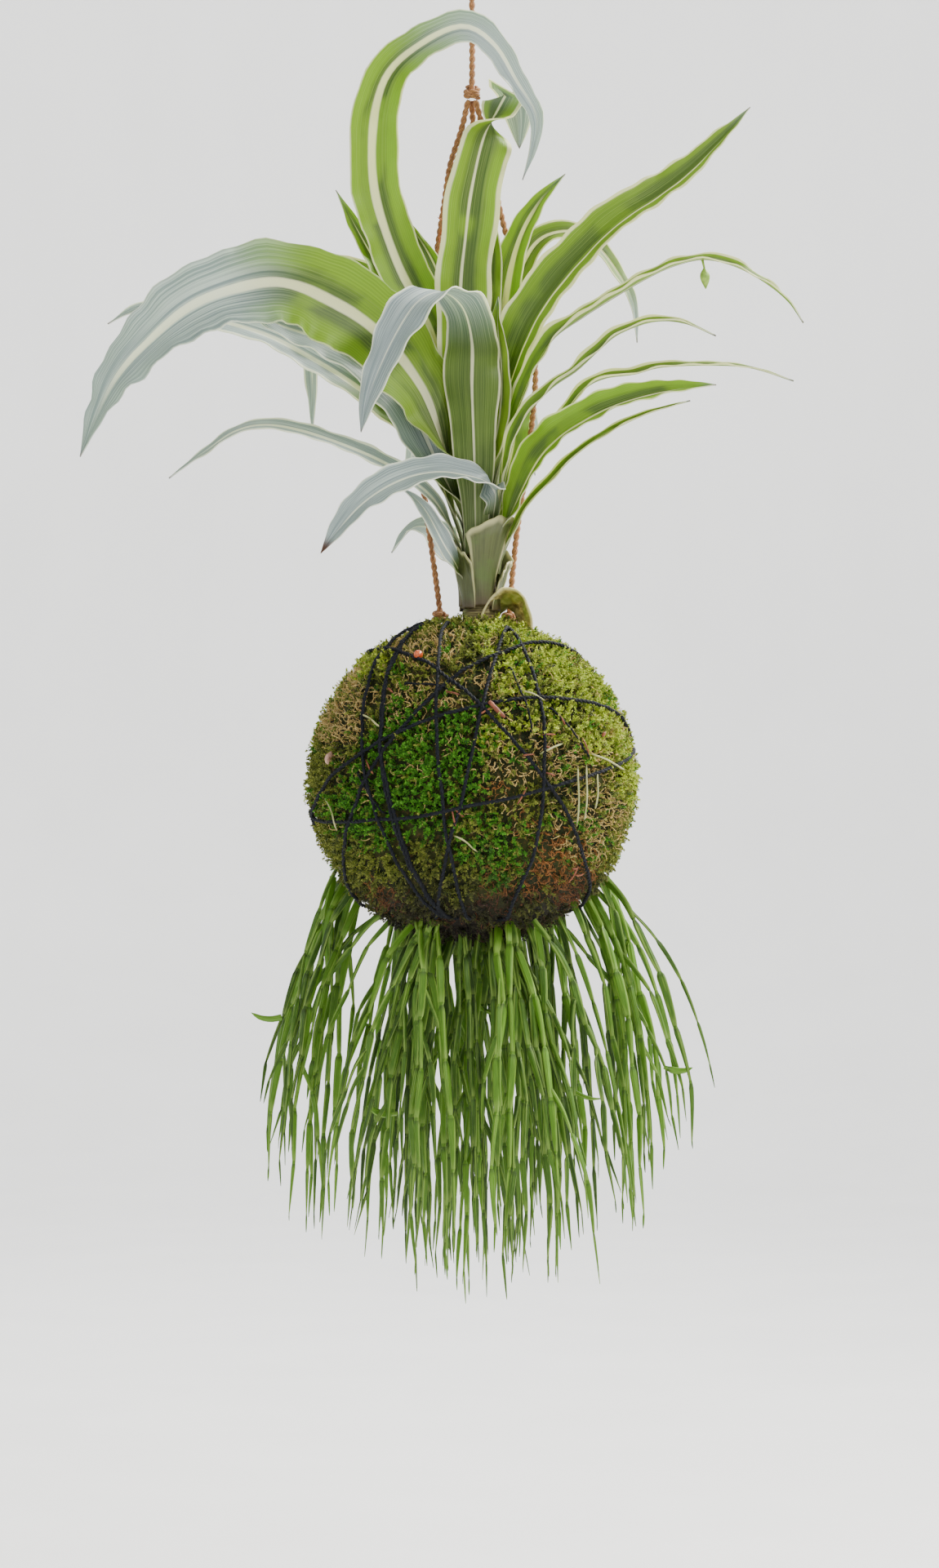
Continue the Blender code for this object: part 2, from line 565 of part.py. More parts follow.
def make_leaf(name, leaf, parts, ball, material):
    """A grid laid along the midrib, folded to a V along it, with a wall of even thickness."""
    start, out = leaf_base(*leaf["base"])
    second = start + out * LEAF_RISE[0] + Vector((0, 0, LEAF_RISE[1]))
    midrib = smooth_route((start, second, *leaf["route"]), LEAF_ROWS + 1)
    mesh = bpy.data.meshes.new(name)
    shape = bmesh.new()
    bmesh.ops.create_grid(shape, x_segments=2, y_segments=LEAF_ROWS, size=1.0)
    fold = math.radians(leaf["fold"])
    for vertex in shape.verts:
        row = round((vertex.co.y + 1) / 2 * LEAF_ROWS)
        side = vertex.co.x
        before = midrib[max(row - 1, 0)]
        after = midrib[min(row + 1, LEAF_ROWS)]
        direction = (after - before).normalized()
        look = leaf_face(row / LEAF_ROWS, leaf["faces"], direction, out)
        half = leaf_width(row / LEAF_ROWS, leaf["width"]) / 2
        across = direction.cross(look)
        place = midrib[row] + across * side * half * math.cos(fold)
        place += look * abs(side) * half * math.sin(fold)
        vertex.co = place * MM
    shape.to_mesh(mesh)
    shape.free()
    mesh.shade_smooth()
    blade = add_object(name, mesh, parts, ball, material)
    wall = blade.modifiers.new("wall", "SOLIDIFY")
    wall.thickness = LEAF_THICKNESS * MM
    wall.offset = 0


def make_sheath(parts, ball):
    """The old leaf base that clasps the front of the cane, torn off short."""
    mesh = bpy.data.meshes.new("old_leaf_sheath")
    shape = bmesh.new()
    bmesh.ops.create_grid(shape, x_segments=4, y_segments=5, size=1.0)
    for vertex in shape.verts:
        side = vertex.co.x
        up = (vertex.co.y + 1) / 2
        height = SHEATH_FOOT + up * (SHEATH_HEIGHT + SHEATH_TEAR * side)
        angle = math.radians(SHEATH_AZIMUTH + side * (SHEATH_SPREAD - SHEATH_NARROWING * up))
        out = cane_radius(height) + SHEATH_STAND_OFF + SHEATH_FLARE * up * up
        centre = cane_axis(height)
        place = centre + Vector((math.cos(angle), math.sin(angle), 0)) * out
        vertex.co = place * MM
    shape.to_mesh(mesh)
    shape.free()
    mesh.shade_smooth()
    material = new_material("sheath", (0.22, 0.24, 0.07), 0.45)
    sheath = add_object("old_leaf_sheath", mesh, parts, ball, material)
    wall = sheath.modifiers.new("wall", "SOLIDIFY")
    wall.thickness = LEAF_THICKNESS * MM
    wall.offset = 0


# Trailing stems

def stem_routes(name):
    """Routes of one crown's stems: out of the crown, over, and down to hanging tips."""
    crown = CROWNS[name]
    chance = random.Random(f"{name}{STEM_SEED}")
    root = on_ball(crown["azimuth"], crown["polar"], MOSS_RADIUS - CROWN_ROOT_DEPTH)
    routes = []
    for i in range(crown["count"]):
        place = (i + 0.5) / crown["count"]
        low, high = crown["sector"]
        angle = math.radians(low + (high - low) * place)
        share = chance.uniform(*crown["reach"])
        reach = STEM_REACH * share
        drop = STEM_DROP - STEM_RISE * share ** 2 - chance.uniform(0, STEM_DROP_SPREAD)
        away = Vector((math.cos(angle), math.sin(angle), 0))
        start = root + away * chance.uniform(*STEM_ROOT_SPREAD)
        start_reach = start.xy.length
        side = away.cross(Vector((0, 0, 1)))
        sway = chance.uniform(-1.0, 1.0)
        route = []
        for k in range(STEM_POINTS):
            t = k / (STEM_POINTS - 1)
            bend = 1 - (1 - t) ** STEM_BEND_POWER
            level = start.xy.lerp(away.xy * reach, bend)
            if reach > start_reach:
                fall = t ** STEM_FALL_POWER
            else:
                fall = t
            height = start.z + (-drop - start.z) * fall
            wave = math.sin(t * STEM_WAVE_ANGLE + sway * STEM_SWAY_ANGLE) * STEM_WAVE * t
            route.append(Vector((level.x, level.y, height)) + side * wave)
        routes.append(route)
    return routes


def make_stem_crown(name, parts, cutters, ball, material, joins):
    """One crown that plugs its hole in the moss, with all its stems grown from it."""
    crown = CROWNS[name]
    foot = on_ball(crown["azimuth"], crown["polar"], SOIL_RADIUS + 2 * GAP)
    head = on_ball(crown["azimuth"], crown["polar"], MOSS_RADIUS + CROWN_PROUD)
    mesh = rod_mesh(name, foot, head, CROWN_RADIUS, CROWN_RADIUS - CROWN_TAPER, CROWN_SIDES)
    plant = add_object(name, mesh, parts, ball, material)
    stems = bpy.data.collections.new(name + "_stems")
    cutters.children.link(stems)
    for i, route in enumerate(stem_routes(name)):
        radii = []
        for k in range(STEM_POINTS):
            t = k / (STEM_POINTS - 1)
            girth = 1 - STEM_SLIM + STEM_SLIM * math.cos(3 * t)
            radii.append(STEM_RADIUS * girth * (1 - t ** 5 * STEM_TIP_TAPER))
        curve = tube_curve("stem", route, radii, 0)
        stem = curve_to_mesh(curve, f"{name}_stem_{i}")
        make_cutter(add_object(f"{name}_stem_{i}", stem, stems, ball))
    joins.append((plant, "UNION", stems))


# Hanger

def make_cord(name, places, count, parts, ball, material):
    points = smooth_route(places, count)
    curve = tube_curve(name, points, [CORD_RADIUS] * count, 2)
    add_object(name, curve, parts, ball, material)


def make_knot(name, centre, radius, stretch, parts, ball, material):
    mesh = bpy.data.meshes.new(name)
    shape = bmesh.new()
    scale = Matrix.Diagonal((stretch, 1, KNOT_SQUASH, 1))
    bmesh.ops.create_uvsphere(shape, u_segments=10, v_segments=7, radius=radius * MM,
                              matrix=Matrix.Translation(Vector(centre) * MM) @ scale)
    shape.to_mesh(mesh)
    shape.free()
    mesh.shade_smooth()
    add_object(name, mesh, parts, ball, material)


def loop_route():
    """A tear-shaped loop: out of its knot, round the crown and back into the knot."""
    top = LOOP_CROWN_HEIGHT + CORD_RADIUS
    foot = LOOP_KNOT_HEIGHT + ANCHOR_RADIUS + GAP
    bow = top - LOOP_HALF_WIDTH
    neck_width, neck_height = LOOP_NECK
    places = [(-LOOP_FOOT_SPREAD, 0, foot), (-neck_width, 0, foot + neck_height)]
    for i in range(LOOP_ARC_STEPS + 1):
        a = math.pi * (1 - i / LOOP_ARC_STEPS)
        places.append((LOOP_HALF_WIDTH * math.cos(a), 0, bow + LOOP_HALF_WIDTH * math.sin(a)))
    places += [(neck_width, 0, foot + neck_height), (LOOP_FOOT_SPREAD, 0, foot)]
    return places


def make_hanger(parts, ball):
    material = new_material("cord", (0.3, 0.14, 0.07), 0.8)
    for name, leg in LEGS.items():
        anchor = Vector(leg["anchor"])
        last = Vector(leg["route"][-1])
        end = anchor + (last - anchor).normalized() * (ANCHOR_RADIUS + GAP)
        make_cord(f"hanger_leg_{name}", (*leg["route"], end), LEG_POINTS, parts, ball, material)
        make_knot(f"anchor_knot_{name}", anchor, ANCHOR_RADIUS, 1.0, parts, ball, material)
    make_knot("gathering_knot", (0, 0, KNOT_HEIGHT), KNOT_RADIUS, GATHERING_STRETCH, parts, ball,
              material)
    line = ((0, 0, KNOT_HEIGHT + KNOT_RADIUS + GAP), (0.2, 0, 335), (0.1, 0, 350),
            (0, 0, LOOP_KNOT_HEIGHT - ANCHOR_RADIUS - GAP))
    make_cord("hanger_line", line, LINE_POINTS, parts, ball, material)
    make_knot("loop_knot", (0, 0, LOOP_KNOT_HEIGHT), ANCHOR_RADIUS, LOOP_KNOT_STRETCH, parts, ball,
              material)
    make_cord("hanging_loop", loop_route(), LOOP_POINTS, parts, ball, material)


def make_dried_tendril(parts, ball):
    """A dried flower tendril hooked on the left leg of the hanger."""
    places = []
    for i in range(9):
        t = i / 8
        place = Vector(TENDRIL_TOP) + Vector(TENDRIL_RUN) * t
        place.x += TENDRIL_WAVE * math.sin(TENDRIL_WAVE_ANGLE * t)
        places.append(place)
    points = smooth_route(places, TENDRIL_POINTS)
    curve = tube_curve("dried_tendril", points, [TENDRIL_RADIUS] * TENDRIL_POINTS, 1)
    material = new_material("dried", (0.45, 0.12, 0.05), 0.7)
    add_object("dried_tendril", curve, parts, ball, material)


def build():
    clear_scene()
    parts = new_collection(COLLECTION_NAME)
    cutters = new_collection(COLLECTION_NAME + "_cutters")
    ball = bpy.data.objects.new("ball_centre", None)
    ball.location = (0, 0, -LOOP_CROWN_HEIGHT * MM)
    parts.objects.link(ball)
    joins = []
    make_soil_core(parts, cutters, ball, joins)
    make_moss_cover(parts, cutters, ball, joins)
    make_binding_thread(parts, cutters, ball, joins)
    make_cane(parts, ball)
    for name, leaf in LEAVES.items():
        make_leaf(name, leaf, parts, ball, new_material(name, (0.25, 0.38, 0.08), 0.4))
    make_sheath(parts, ball)
    for name in CROWNS:
        material = new_material(name, (0.2, 0.34, 0.06), 0.5)
        make_stem_crown(name, parts, cutters, ball, material, joins)
    make_hanger(parts, ball)
    make_dried_tendril(parts, ball)
    for thing, operation, tool in joins:
        add_boolean(thing, operation, tool)
    bpy.context.view_layer.update()


build()
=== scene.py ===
import math
import random

import bmesh
import bpy
import numpy as np
from mathutils import Matrix, Vector, noise


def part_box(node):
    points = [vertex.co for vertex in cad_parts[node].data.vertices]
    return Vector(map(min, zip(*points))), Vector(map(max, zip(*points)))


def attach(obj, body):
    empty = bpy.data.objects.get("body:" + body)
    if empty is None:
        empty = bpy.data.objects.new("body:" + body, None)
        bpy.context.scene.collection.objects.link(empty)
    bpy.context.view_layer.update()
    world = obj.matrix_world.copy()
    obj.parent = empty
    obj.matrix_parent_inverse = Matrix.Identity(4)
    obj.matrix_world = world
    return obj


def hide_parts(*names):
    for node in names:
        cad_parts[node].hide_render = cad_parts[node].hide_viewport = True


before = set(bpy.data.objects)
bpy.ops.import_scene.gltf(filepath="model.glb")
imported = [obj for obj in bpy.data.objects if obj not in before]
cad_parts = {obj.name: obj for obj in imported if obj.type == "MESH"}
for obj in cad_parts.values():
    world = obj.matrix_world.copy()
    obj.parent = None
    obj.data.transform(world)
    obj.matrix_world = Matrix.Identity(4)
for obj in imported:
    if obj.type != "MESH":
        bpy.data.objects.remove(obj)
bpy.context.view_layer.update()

# Everything below is in millimetres in the ball's own frame: its centre at zero, +Y to the back
mm = 0.001
soilRadius = 62.4
mossTop = 74.0
ballCentre = Vector((0, 0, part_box("soil_core")[0].z + soilRadius * mm))
crownHeight = -ballCentre.z / mm          # the hanging loop's crown, above the ball's centre


def inFrame(point):
    return ballCentre + Vector(point) * mm


# Nodes: one wrapper for a socket, one for a tree

class Wire:
    def __init__(self, net, socket):
        self.net = net
        self.socket = socket

    def out(self, name):
        return Wire(self.net, self.socket.node.outputs[name])

    def __add__(self, other):
        return self.net.maths("ADD", self, other)

    def __sub__(self, other):
        return self.net.maths("SUBTRACT", self, other)

    def __rsub__(self, other):
        return self.net.maths("SUBTRACT", other, self)

    def __mul__(self, other):
        return self.net.maths("MULTIPLY", self, other)

    def __truediv__(self, other):
        return self.net.maths("DIVIDE", self, other)

    __radd__ = __add__
    __rmul__ = __mul__


class Net:
    def __init__(self, tree):
        self.tree = tree

    def node(self, kind, settings=None, values=None, out=0):
        made = self.tree.nodes.new(kind)
        for key, value in (settings or {}).items():
            setattr(made, key, value)
        for key, value in (values or {}).items():
            for one in value if isinstance(value, list) else [value]:
                if isinstance(one, Wire):
                    self.tree.links.new(one.socket, made.inputs[key])
                else:
                    made.inputs[key].default_value = one
        return Wire(self, made.outputs[out]) if made.outputs else made

    def maths(self, operation, *values):
        return self.node("ShaderNodeMath", {"operation": operation}, dict(enumerate(values)))

    def vector(self, operation, *values):
        return self.node("ShaderNodeVectorMath", {"operation": operation}, dict(enumerate(values)))

    def scaled(self, vector, factor):
        return self.node("ShaderNodeVectorMath", {"operation": "SCALE"},
                         {0: vector, "Scale": factor})

    def step(self, value, low, high):
        return self.node("ShaderNodeMapRange", {"interpolation_type": "SMOOTHSTEP"},
                         {0: value, 1: low, 2: high})

    def mix(self, factor, first, second, blend="MIX"):
        first, second = [(*c, 1) if isinstance(c, tuple) else c for c in (first, second)]
        return self.node("ShaderNodeMix", {"data_type": "RGBA", "blend_type": blend},
                         {0: factor, 6: first, 7: second}, 2)

    def place(self, scale=(1, 1, 1)):
        objectPlace = self.node("ShaderNodeTexCoord").out("Object")
        return self.node("ShaderNodeMapping", {}, {"Vector": objectPlace, "Scale": scale})

    def uv(self, name):
        both = self.node("ShaderNodeUVMap", {"uv_map": name})
        return self.node("ShaderNodeSeparateXYZ", {}, {0: both})

    def attribute(self, name):
        return self.node("ShaderNodeAttribute", {"attribute_name": name}, out=2)

    def noise(self, vector, scale, detail=3, roughness=0.55):
        return self.node("ShaderNodeTexNoise", {}, {"Vector": vector, "Scale": scale,
                                                    "Detail": detail, "Roughness": roughness})

    def stretched(self, across, along):
        # a flat place for a pattern that runs with the surface
        return self.node("ShaderNodeCombineXYZ", {}, {"X": across, "Y": along})

    def skin(self, colour, rough, height, strength, distance):
        bump = self.node("ShaderNodeBump", {},
                         {"Height": height, "Strength": strength, "Distance": distance * mm})
        return {"Base Color": colour, "Roughness": rough, "Normal": bump}

    def store(self, geometry, name, value, domain="POINT"):
        return self.node("GeometryNodeStoreNamedAttribute",
                         {"data_type": "FLOAT", "domain": domain},
                         {"Geometry": geometry, "Name": name, "Value": value})

    def close(self, geometry, finish):
        whole = self.node("GeometryNodeRealizeInstances", {}, {"Geometry": geometry})
        done = self.node("GeometryNodeSetMaterial", {}, {"Geometry": whole, "Material": finish})
        self.node("NodeGroupOutput", {}, {"Geometry": done})
        return self.tree


def newMaterial(name, paint, through=None, **fixed):
    # paint(net) gives the skin's links; through, a share and a tint, lets light through a leaf
    material = bpy.data.materials.new(name)
    material.use_nodes = True
    material.node_tree.nodes.clear()
    net = Net(material.node_tree)
    links = paint(net)
    skin = net.node("ShaderNodeBsdfPrincipled", {}, {**fixed, **links})
    if through:
        glow = net.node("ShaderNodeBsdfTranslucent", {},
                        {"Color": net.mix(1.0, links["Base Color"], through["tint"], "MULTIPLY")})
        skin = net.node("ShaderNodeMixShader", {}, {0: through["share"], 1: skin, 2: glow})
    net.node("ShaderNodeOutputMaterial", {}, {"Surface": skin})
    return material


# Geometry helpers

def newObject(name, data):
    made = bpy.data.objects.new(name, data)
    bpy.context.scene.collection.objects.link(made)
    return made


def setTag(mesh, key, values):
    mesh.attributes.new(key, "FLOAT", "POINT").data.foreach_set("value", values)


def gridFaces(rows, columns):
    wide = columns + 1
    return [(r * wide + c, r * wide + c + 1, (r + 1) * wide + c + 1, (r + 1) * wide + c)
            for r in range(rows) for c in range(columns)]


class Shape:
    # gathers closed tubes and sheets, in millimetres, with a UV and number tags for each corner
    def __init__(self):
        self.points = []
        self.faces = []
        self.uvs = []
        self.tags = {}

    def add(self, points, faces, uvs, **tags):
        first = len(self.points)
        self.points += [tuple(p) for p in points]
        self.faces += [tuple(first + i for i in face) for face in faces]
        self.uvs += list(uvs)
        for key, value in tags.items():
            values = value if hasattr(value, "__len__") else [value] * len(points)
            self.tags.setdefault(key, []).extend(values)

    def mesh(self, name, place=inFrame):
        mesh = bpy.data.meshes.new(name)
        mesh.from_pydata([place(p) for p in self.points], [], self.faces)
        layer = mesh.uv_layers.new(name="skin")
        order = np.empty(len(mesh.loops), dtype=int)
        mesh.loops.foreach_get("vertex_index", order)
        layer.data.foreach_set("uv", np.array(self.uvs, dtype=np.float32)[order].ravel())
        for key, values in self.tags.items():
            setTag(mesh, key, values)
        return mesh

    def piece(self, name, material, sharpAngle=None):
        mesh = self.mesh(name)
        mesh.materials.append(material)
        mesh.shade_smooth()
        if sharpAngle:
            mesh.set_sharp_from_angle(angle=math.radians(sharpAngle))
        mesh.validate()
        return newObject(name, mesh)


def smoothRoute(places, count):
    # evenly spaced points on a Catmull-Rom curve through the places, as the solids have them
    knots = [Vector(p) for p in places]
    knots = [2 * knots[0] - knots[1], *knots, 2 * knots[-1] - knots[-2]]
    steps = 12
    dense = []
    for a, b, c, d in zip(knots, knots[1:], knots[2:], knots[3:]):
        for i in range(steps):
            t = i / steps
            dense.append(0.5 * (2 * b + (c - a) * t + (2 * a - 5 * b + 4 * c - d) * t * t
                                + (3 * b - a - 3 * c + d) * t * t * t))
    dense.append(knots[-2])
    lengths = [0.0]
    for p, q in zip(dense, dense[1:]):
        lengths.append(lengths[-1] + (q - p).length)
    points = []
    place = 0
    for i in range(count):
        wanted = lengths[-1] * i / (count - 1)
        while place < len(dense) - 2 and lengths[place + 1] < wanted:
            place += 1
        share = (wanted - lengths[place]) / (lengths[place + 1] - lengths[place])
        points.append(dense[place].lerp(dense[place + 1], min(share, 1.0)))
    return points


def heading(angle):
    return Vector((math.cos(angle), math.sin(angle), 0))


def routeLength(points):
    return sum((q - p).length for p, q in zip(points, points[1:]))


def turningFrames(points):
    # direction, side and third axis along a route, with no needless twist
    frames = []
    side = None
    for i in range(len(points)):
        direction = (points[min(i + 1, len(points) - 1)] - points[max(i - 1, 0)]).normalized()
        if side is None:
            side = direction.orthogonal()
        side = (side - direction * side.dot(direction)).normalized()
        frames.append((direction, side, direction.cross(side)))
    return frames


def addTube(shape, points, radii, sides, wing=0.0, twists=None, **tags):
    # wing 0 is round; up to 1 it's drawn out to two ridges, turned by twists along the route
    rings = []
    uvs = []
    run = 0.0
    for i, (point, (direction, side, third)) in enumerate(zip(points, turningFrames(points))):
        run += (point - points[i - 1]).length if i else 0
        turn = twists[i] if twists else 0.0
        for k in range(sides):
            a = 2 * math.pi * k / sides
            reach = radii[i] * (1 - wing + wing * abs(math.cos(a)) ** 1.6)
            rings.append(point + side * math.cos(a + turn) * reach
                         + third * math.sin(a + turn) * reach)
            uvs.append((k / sides, run))
    count = len(points)
    faces = []
    for i in range(count - 1):
        for k in range(sides):
            n = (k + 1) % sides
            faces.append((i * sides + k, i * sides + n, (i + 1) * sides + n, (i + 1) * sides + k))
    faces.append(tuple(reversed(range(sides))))
    faces.append(tuple((count - 1) * sides + k for k in range(sides)))
    for key, value in tags.items():
        if hasattr(value, "__len__"):
            tags[key] = [v for v in value for k in range(sides)]
    shape.add(rings, faces, uvs, **tags)


def frozen(holder, name):
    # the evaluated result as a plain mesh object, its modifiers gone
    bpy.context.view_layer.update()
    graph = bpy.context.evaluated_depsgraph_get()
    mesh = bpy.data.meshes.new_from_object(holder.evaluated_get(graph))
    bpy.data.objects.remove(holder, do_unlink=True)
    mesh.name = name
    return newObject(name, mesh)


def walled(shape, name, material, thickness):
    # a sheet with its wall, half to each side
    sheet = shape.piece(name, material)
    wall = sheet.modifiers.new("wall", "SOLIDIFY")
    wall.thickness = thickness * mm
    wall.offset = 0
    return frozen(sheet, name)


def nodeModifier(holder, tree, values):
    modifier = holder.modifiers.new(tree.name, "NODES")
    modifier.node_group = tree
    for item in tree.interface.items_tree:
        if item.in_out == "INPUT" and item.name in values:
            modifier[item.identifier] = values[item.name]


def newTree(name, **inputs):
    tree = bpy.data.node_groups.new(name, "GeometryNodeTree")
    tree.interface.new_socket("Geometry", in_out="INPUT", socket_type="NodeSocketGeometry")
    tree.interface.new_socket("Geometry", in_out="OUTPUT", socket_type="NodeSocketGeometry")
    for label, kind in inputs.items():
        tree.interface.new_socket(label, in_out="INPUT", socket_type="NodeSocket" + kind)
    net = Net(tree)
    return net, net.node("NodeGroupInput")


def pieceName(node):
    first, *rest = node.split("_")
    return first + "".join(word.capitalize() for word in rest)


def ready(piece, slot, *nodes):
    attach(piece, "root")
    if nodes:
        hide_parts(*nodes)
    return piece


# Camera: level, looking to the back, with the ball's centre a little below the middle

cameraValues = dict(distance=1.7, lens=85, right=-1.1, above=-1.3)


def makeCamera():
    data = bpy.data.cameras.new("camera")
    data.lens = cameraValues["lens"]
    camera = newObject("camera", data)
    middle = inFrame((cameraValues["right"], 0, cameraValues["above"]))
    camera.location = middle - Vector((0, cameraValues["distance"], 0))
    camera.rotation_euler = (math.radians(90), 0, 0)
    bpy.context.scene.camera = camera


makeCamera()


# Twisted cord: plies laid round a route of edges

def plyTree():
    net, start = newTree("layPlies", Spacing="Float", Offset="Float", Thickness="Float",
                         Pitch="Float", Sides="Int", Finish="Material")
    line = net.node("GeometryNodeMeshToCurve", {}, {"Mesh": start.out("Geometry")})
    line = net.node("GeometryNodeResampleCurve", {"mode": "LENGTH"},
                    {"Curve": line, "Length": start.out("Spacing")})
    run = net.node("GeometryNodeSplineParameter", out=1)
    line = net.store(line, "along", run)
    normal = net.node("GeometryNodeInputNormal")
    tangent = net.node("GeometryNodeInputTangent")
    third = net.vector("CROSS_PRODUCT", tangent, normal)
    circle = net.node("GeometryNodeCurvePrimitiveCircle", {},
                      {"Resolution": start.out("Sides"), "Radius": start.out("Thickness")})
    circle = net.store(circle, "around", net.node("GeometryNodeSplineParameter"))
    plies = []
    for ply in range(2):
        angle = run / start.out("Pitch") * (2 * math.pi) + math.pi * ply
        reach = net.vector("ADD", net.scaled(normal, net.maths("COSINE", angle)),
                           net.scaled(third, net.maths("SINE", angle)))
        laid = net.node("GeometryNodeSetPosition", {},
                        {"Geometry": line, "Offset": net.scaled(reach, start.out("Offset"))})
        plies.append(net.node("GeometryNodeCurveToMesh", {},
                              {"Curve": laid, "Profile Curve": circle, "Fill Caps": True}))
    both = net.node("GeometryNodeJoinGeometry", {}, {"Geometry": plies})
    both = net.node("GeometryNodeSetShadeSmooth", {}, {"Geometry": both})
    return net.close(both, start.out("Finish"))


layPlies = plyTree()


def twistedPiece(name, routes, finish, diameter, pitch, spacing, sides=8):
    mesh = bpy.data.meshes.new(name + "Line")
    points = []
    edges = []
    for route in routes:
        edges += [(len(points) + i, len(points) + i + 1) for i in range(len(route) - 1)]
        points += [inFrame(p) for p in route]
    mesh.from_pydata(points, edges, [])
    holder = newObject(name + "Line", mesh)
    nodeModifier(holder, layPlies, {
        "Spacing": spacing * mm, "Offset": diameter * 0.21 * mm, "Thickness": diameter * 0.29 * mm,
        "Pitch": pitch * mm, "Sides": sides, "Finish": finish})
    return frozen(holder, name)


def paintCord(net, dark, light, fibre, bumpDistance):
    along = net.attribute("along") * 1000
    around = net.attribute("around")
    lay = net.maths("SINE", (around * 9 + along * fibre) * (2 * math.pi))
    grain = net.noise(net.place(), 900)
    patch = net.noise(net.place(), 60, 2)
    shade = lay * 0.18 + grain * 0.6 + patch * 0.4 - 0.05
    colour = net.mix(net.step(shade, 0.15, 0.85), dark, light)
    height = lay * 0.5 + grain
    return net.skin(colour, 0.62 + grain * 0.3, height, 0.6, bumpDistance)


# Dark and light of the fibres, how far they lean, and how deep they stand
cordColours = dict(
    copperTwine=((0.2, 0.075, 0.024), (0.66, 0.31, 0.115), 0.35, 0.25),
    navyThread=((0.0015, 0.002, 0.004), (0.009, 0.012, 0.022), 0.8, 0.15),
)
cordFinish = newMaterial("copperTwine", lambda net: paintCord(net, *cordColours["copperTwine"]),
                         **{"Sheen Weight": 0.15})
threadFinish = newMaterial("navyThread", lambda net: paintCord(net, *cordColours["navyThread"]),
                           **{"Specular IOR Level": 0.3})

# Hanger: three legs, the line above them and the loop

hanger = dict(diameter=3.0, pitch=7.0, spacing=0.5, knotHeight=316.0, knotRadius=2.9,
              loopKnotHeight=366.0, loopHalfWidth=10.0, footSpread=1.9, neck=(4.6, 7.0),
              anchorRadius=3.0, gap=0.4, line=((0.2, 0, 335), (0.1, 0, 350)))
hangerLegs = {
    "left": dict(anchor=(-14.5, 11.0, 75.8),
                 route=((-1.7, -1.0, 312.4), (-5.0, 2.0, 299.0), (-10.0, 6.0, 284.0),
                        (-13.0, 12.0, 266.0), (-16.5, 17.0, 244.0), (-21.0, 21.0, 215.0),
                        (-24.6, 23.0, 190.0), (-25.2, 23.0, 168.0), (-23.0, 21.0, 140.0),
                        (-18.4, 17.0, 106.0), (-15.4, 13.0, 84.0))),
    "right": dict(anchor=(17.5, 14.0, 75.2),
                  route=((1.7, -1.0, 312.4), (5.2, 2.0, 299.0), (10.0, 7.0, 276.0),
                         (15.0, 12.0, 256.0), (19.5, 15.0, 240.0), (25.0, 18.0, 218.0),
                         (28.8, 20.0, 198.0), (29.4, 20.0, 184.0), (27.0, 20.0, 158.0),
                         (21.0, 18.0, 116.0), (18.0, 15.5, 86.0))),
    "back": dict(anchor=(7.0, 24.0, 74.2),
                 route=((0.0, 2.0, 312.4), (1.0, 8.0, 292.0), (2.4, 18.0, 262.0),
                        (3.4, 25.0, 232.0), (3.8, 27.0, 205.0), (4.2, 27.0, 180.0),
                        (5.2, 26.0, 150.0), (6.6, 25.0, 118.0), (7.0, 24.3, 86.0))),
}


def knotRoute(centre, radius, turns, height, tilt=0.35):
    # cord wound round itself: a rising coil, tilted so that its turns cross like a tied knot's
    steps = int(turns * 14)
    points = []
    for i in range(steps + 1):
        t = i / steps
        a = 2 * math.pi * turns * t
        lean = math.sin(a) * tilt * radius
        points.append(Vector((math.cos(a) * radius, math.sin(a) * radius * 0.8,
                              (t - 0.5) * height + lean)) + Vector(centre))
    return points


def makeKnot(name, centre, radius, turns=2.4):
    route = knotRoute(centre, radius, turns, radius * 1.6)
    knot = twistedPiece(pieceName(name), [route], cordFinish, radius * 0.85, 6.0, 0.4)
    return ready(knot, "cord", name)


def makeCord(name, points):
    cord = twistedPiece(pieceName(name), [points], cordFinish, hanger["diameter"], hanger["pitch"],
                        hanger["spacing"])
    ready(cord, "cord", name)
    inFrame(points[0])
    routeLength(points) * mm
    [inFrame(p) for p in points]


def loopRoute():
    foot = hanger["loopKnotHeight"] + hanger["anchorRadius"] + hanger["gap"]
    bow = crownHeight + hanger["diameter"] / 2 - hanger["loopHalfWidth"]
    neckWidth, neckHeight = hanger["neck"]
    places = [(-hanger["footSpread"], 0, foot), (-neckWidth, 0, foot + neckHeight)]
    for i in range(9):
        a = math.pi * (1 - i / 8)
        places.append((hanger["loopHalfWidth"] * math.cos(a), 0,
                       bow + hanger["loopHalfWidth"] * math.sin(a)))
    return places + [(neckWidth, 0, foot + neckHeight), (hanger["footSpread"], 0, foot)]


def makeHanger():
    gathering = makeKnot("gathering_knot", (0, 0, hanger["knotHeight"]), hanger["knotRadius"])
    loopKnot = makeKnot("loop_knot", (0, 0, hanger["loopKnotHeight"]), hanger["anchorRadius"])
    for side, leg in hangerLegs.items():
        anchor = Vector(leg["anchor"])
        knot = makeKnot(f"anchor_knot_{side}", anchor, hanger["anchorRadius"], 1.8)
        points = smoothRoute((*leg["route"], anchor), 90)
        makeCord(f"hanger_leg_{side}", points[::-1])
    line = ((0, 0, hanger["knotHeight"]), *hanger["line"], (0, 0, hanger["loopKnotHeight"]))
    makeCord("hanger_line", smoothRoute(line, 24))
    makeCord("hanging_loop", smoothRoute(loopRoute(), 60))


makeHanger()
print("hanger done")


# Cane and leaves

